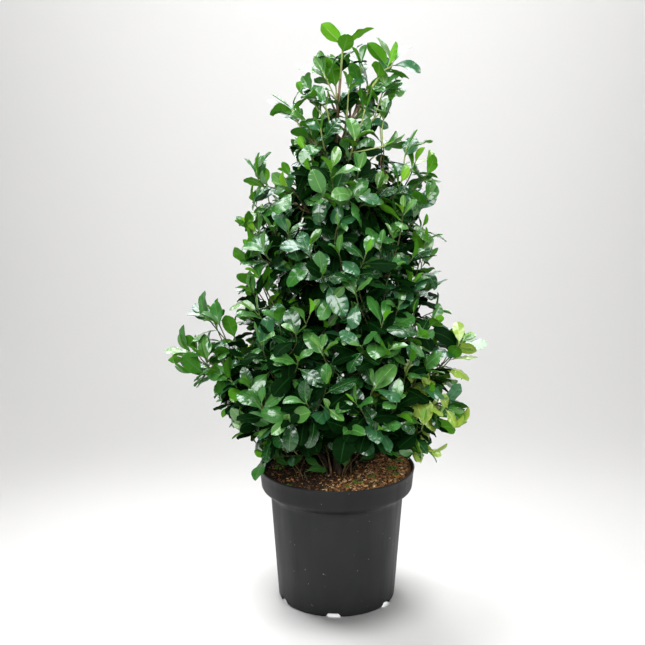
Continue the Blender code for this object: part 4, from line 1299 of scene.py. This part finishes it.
def studio(paper, pot):
    """Soft lights for the plant, and others for the paper, in which only the pot casts a shadow."""
    plant = [
        area_light("front", (-0.7, -2.8, 2.3), (0.0, 0.0, 0.6), 2.6, 150, (0.98, 0.99, 1.0)),
        area_light("overhead", (-0.2, 0.1, 2.9), (0.0, 0.0, 0.5), 2.0, 41, (0.96, 0.98, 1.0)),
        area_light("sheen", (-0.3, 0.7, 3.1), (0.0, 0.0, 0.7), 3.6, 246, (0.93, 0.93, 1.0), matt=False),
        area_light("right", (2.1, -1.3, 1.8), (0.0, 0.0, 0.55), 1.6, 44, (1.0, 1.0, 1.0)),
        area_light("behind", (-1.25, 1.35, 1.75), (0.08, -0.14, 0.10), 0.5, 10, (1.0, 1.0, 1.0), 70, gloss=False),
        area_light("back_fill", (0.4, 1.8, 2.1), (0.0, 0.0, 0.55), 1.4, 40, (1.0, 1.0, 1.0), gloss=False),
    ]
    for light in plant:
        limit(light, light.name, spared=(paper,))
    for name, place, aim, size, power, spread in (
        ("wash", (0.0, 0.2, 3.4), (0.0, 2.2, 1.3), 1.6, 114, 180),
        ("wall", (0.0, -0.9, 2.1), (0.0, 2.2, 2.2), 1.2, 6, 90),
        ("floor_front", (0.7, -1.6, 2.2), (0.40, -0.8, 0.0), 1.6, 6.4, 90),
        ("floor_back", (-0.30, 1.00, 1.80), (0.1, -0.85, 0.0), 0.8, 4.8, 90),
        ("floor_left", (-1.02, 0.62, 1.80), (0.2, -0.85, 0.0), 0.8, 7.0, 90),
        ("far_left", (-3.9, -0.6, 3.0), (-3.9, -0.6, 0.0), 2.6, 40, 80),
        ("far_right", (3.9, -0.6, 3.0), (3.9, -0.6, 0.0), 2.6, 34, 76),
        ("far_front", (0.0, -3.4, 3.0), (0.0, -3.4, 0.0), 2.6, 34, 80),
    ):
        light = area_light(name, place, aim, size, power, (0.98, 0.99, 1.0), spread)
        limit(light, name, lit=(paper,), casting=(pot,))
    world = bpy.data.worlds.new("studio_air")
    world.use_nodes = True
    world.node_tree.nodes["Background"].inputs["Color"].default_value = (0.80, 0.80, 0.80, 1)
    world.node_tree.nodes["Background"].inputs["Strength"].default_value = 1.0
    seen = world.cycles_visibility
    seen.diffuse, seen.glossy, seen.transmission, seen.scatter = False, False, False, False
    bpy.context.scene.world = world
    bpy.context.scene.view_settings.view_transform = "Standard"
    cam = bpy.data.cameras.new("camera")
    cam.sensor_width, cam.lens = 36, 60.74
    cam.clip_start, cam.clip_end = 0.05, 40
    ob = bpy.data.objects.new("camera", cam)
    ob.location = EYE
    ob.rotation_euler = (math.radians(90 - 12.02), 0, math.radians(0.795))
    bpy.context.scene.collection.objects.link(ob)
    bpy.context.scene.camera = ob


# ---------------------------------------------------------------- all together
def main():
    pot = make_pot()
    studio(make_stage(), pot)
    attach(pot, "root"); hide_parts("pot")
    soil = make_soil()
    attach(soil, "root"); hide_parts("soil")
    bits = make_bits(3600, RNG)
    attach(bits, "root")
    moss = make_moss(RNG)
    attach(moss, "root")

    leaves, shoots, twigs, made = plant()
    # The stems' and boughs' bark is nearly black: partly the old bark's own dark brown, partly painted shade, as the
    # stems stand in the crown's shadow.
    bark = bark_material("bark_stem", (0.014, 0.010, 0.007), (0.072, 0.052, 0.030), 160)
    young_bark = bark_material("bark_young_stem", (0.110, 0.062, 0.034), (0.340, 0.220, 0.125), 200, 0.7)
    twig_bark = bark_material("bark_twig", (0.060, 0.040, 0.020), (0.230, 0.155, 0.075), 220, 0.7)
    twig_green = bark_material("bark_green_twig", (0.036, 0.046, 0.014), (0.110, 0.115, 0.040), 240, 0.6)
    shoot_green = bark_material("bark_shoot", (0.190, 0.260, 0.060), (0.400, 0.450, 0.160), 260, 0.5)
    wood = made["wood"].object("stems_and_boughs", [bark, young_bark])
    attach(wood, "root"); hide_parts(*WOOD)
    twig_ob = twigs.object("twigs", [twig_bark, twig_green])
    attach(twig_ob, "root")
    # A much darker copy of the green shoot bark, for shoots lower in the crown: painted shade.
    shaded_low_shoot = bark_material("bark_low_shoot_painted_shade", (0.036, 0.056, 0.013), (0.092, 0.130, 0.032), 260, 0.5)
    shoot_ob = shoots.object("green_shoots", [shoot_green, shaded_low_shoot])
    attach(shoot_ob, "root")

    mats = leaf_materials()
    groups = {}
    for name in MASSES:
        low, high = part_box(name)
        groups.setdefault(group_of(name, (low.y + high.y) / 2), []).append(name)
    faces = 0
    for group in leaves.rows:
        ob = leaves.build(group, f"leaves_{group}", mats)
        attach(ob, "root")
        if groups.get(group):
            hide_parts(*groups[group])
        faces += 2 * len(ob.data.polygons)
        print(ob.name, len(leaves.rows[group]), "leaves", 2 * len(ob.data.polygons), "triangles")
    print("leaf triangles", faces)


main()
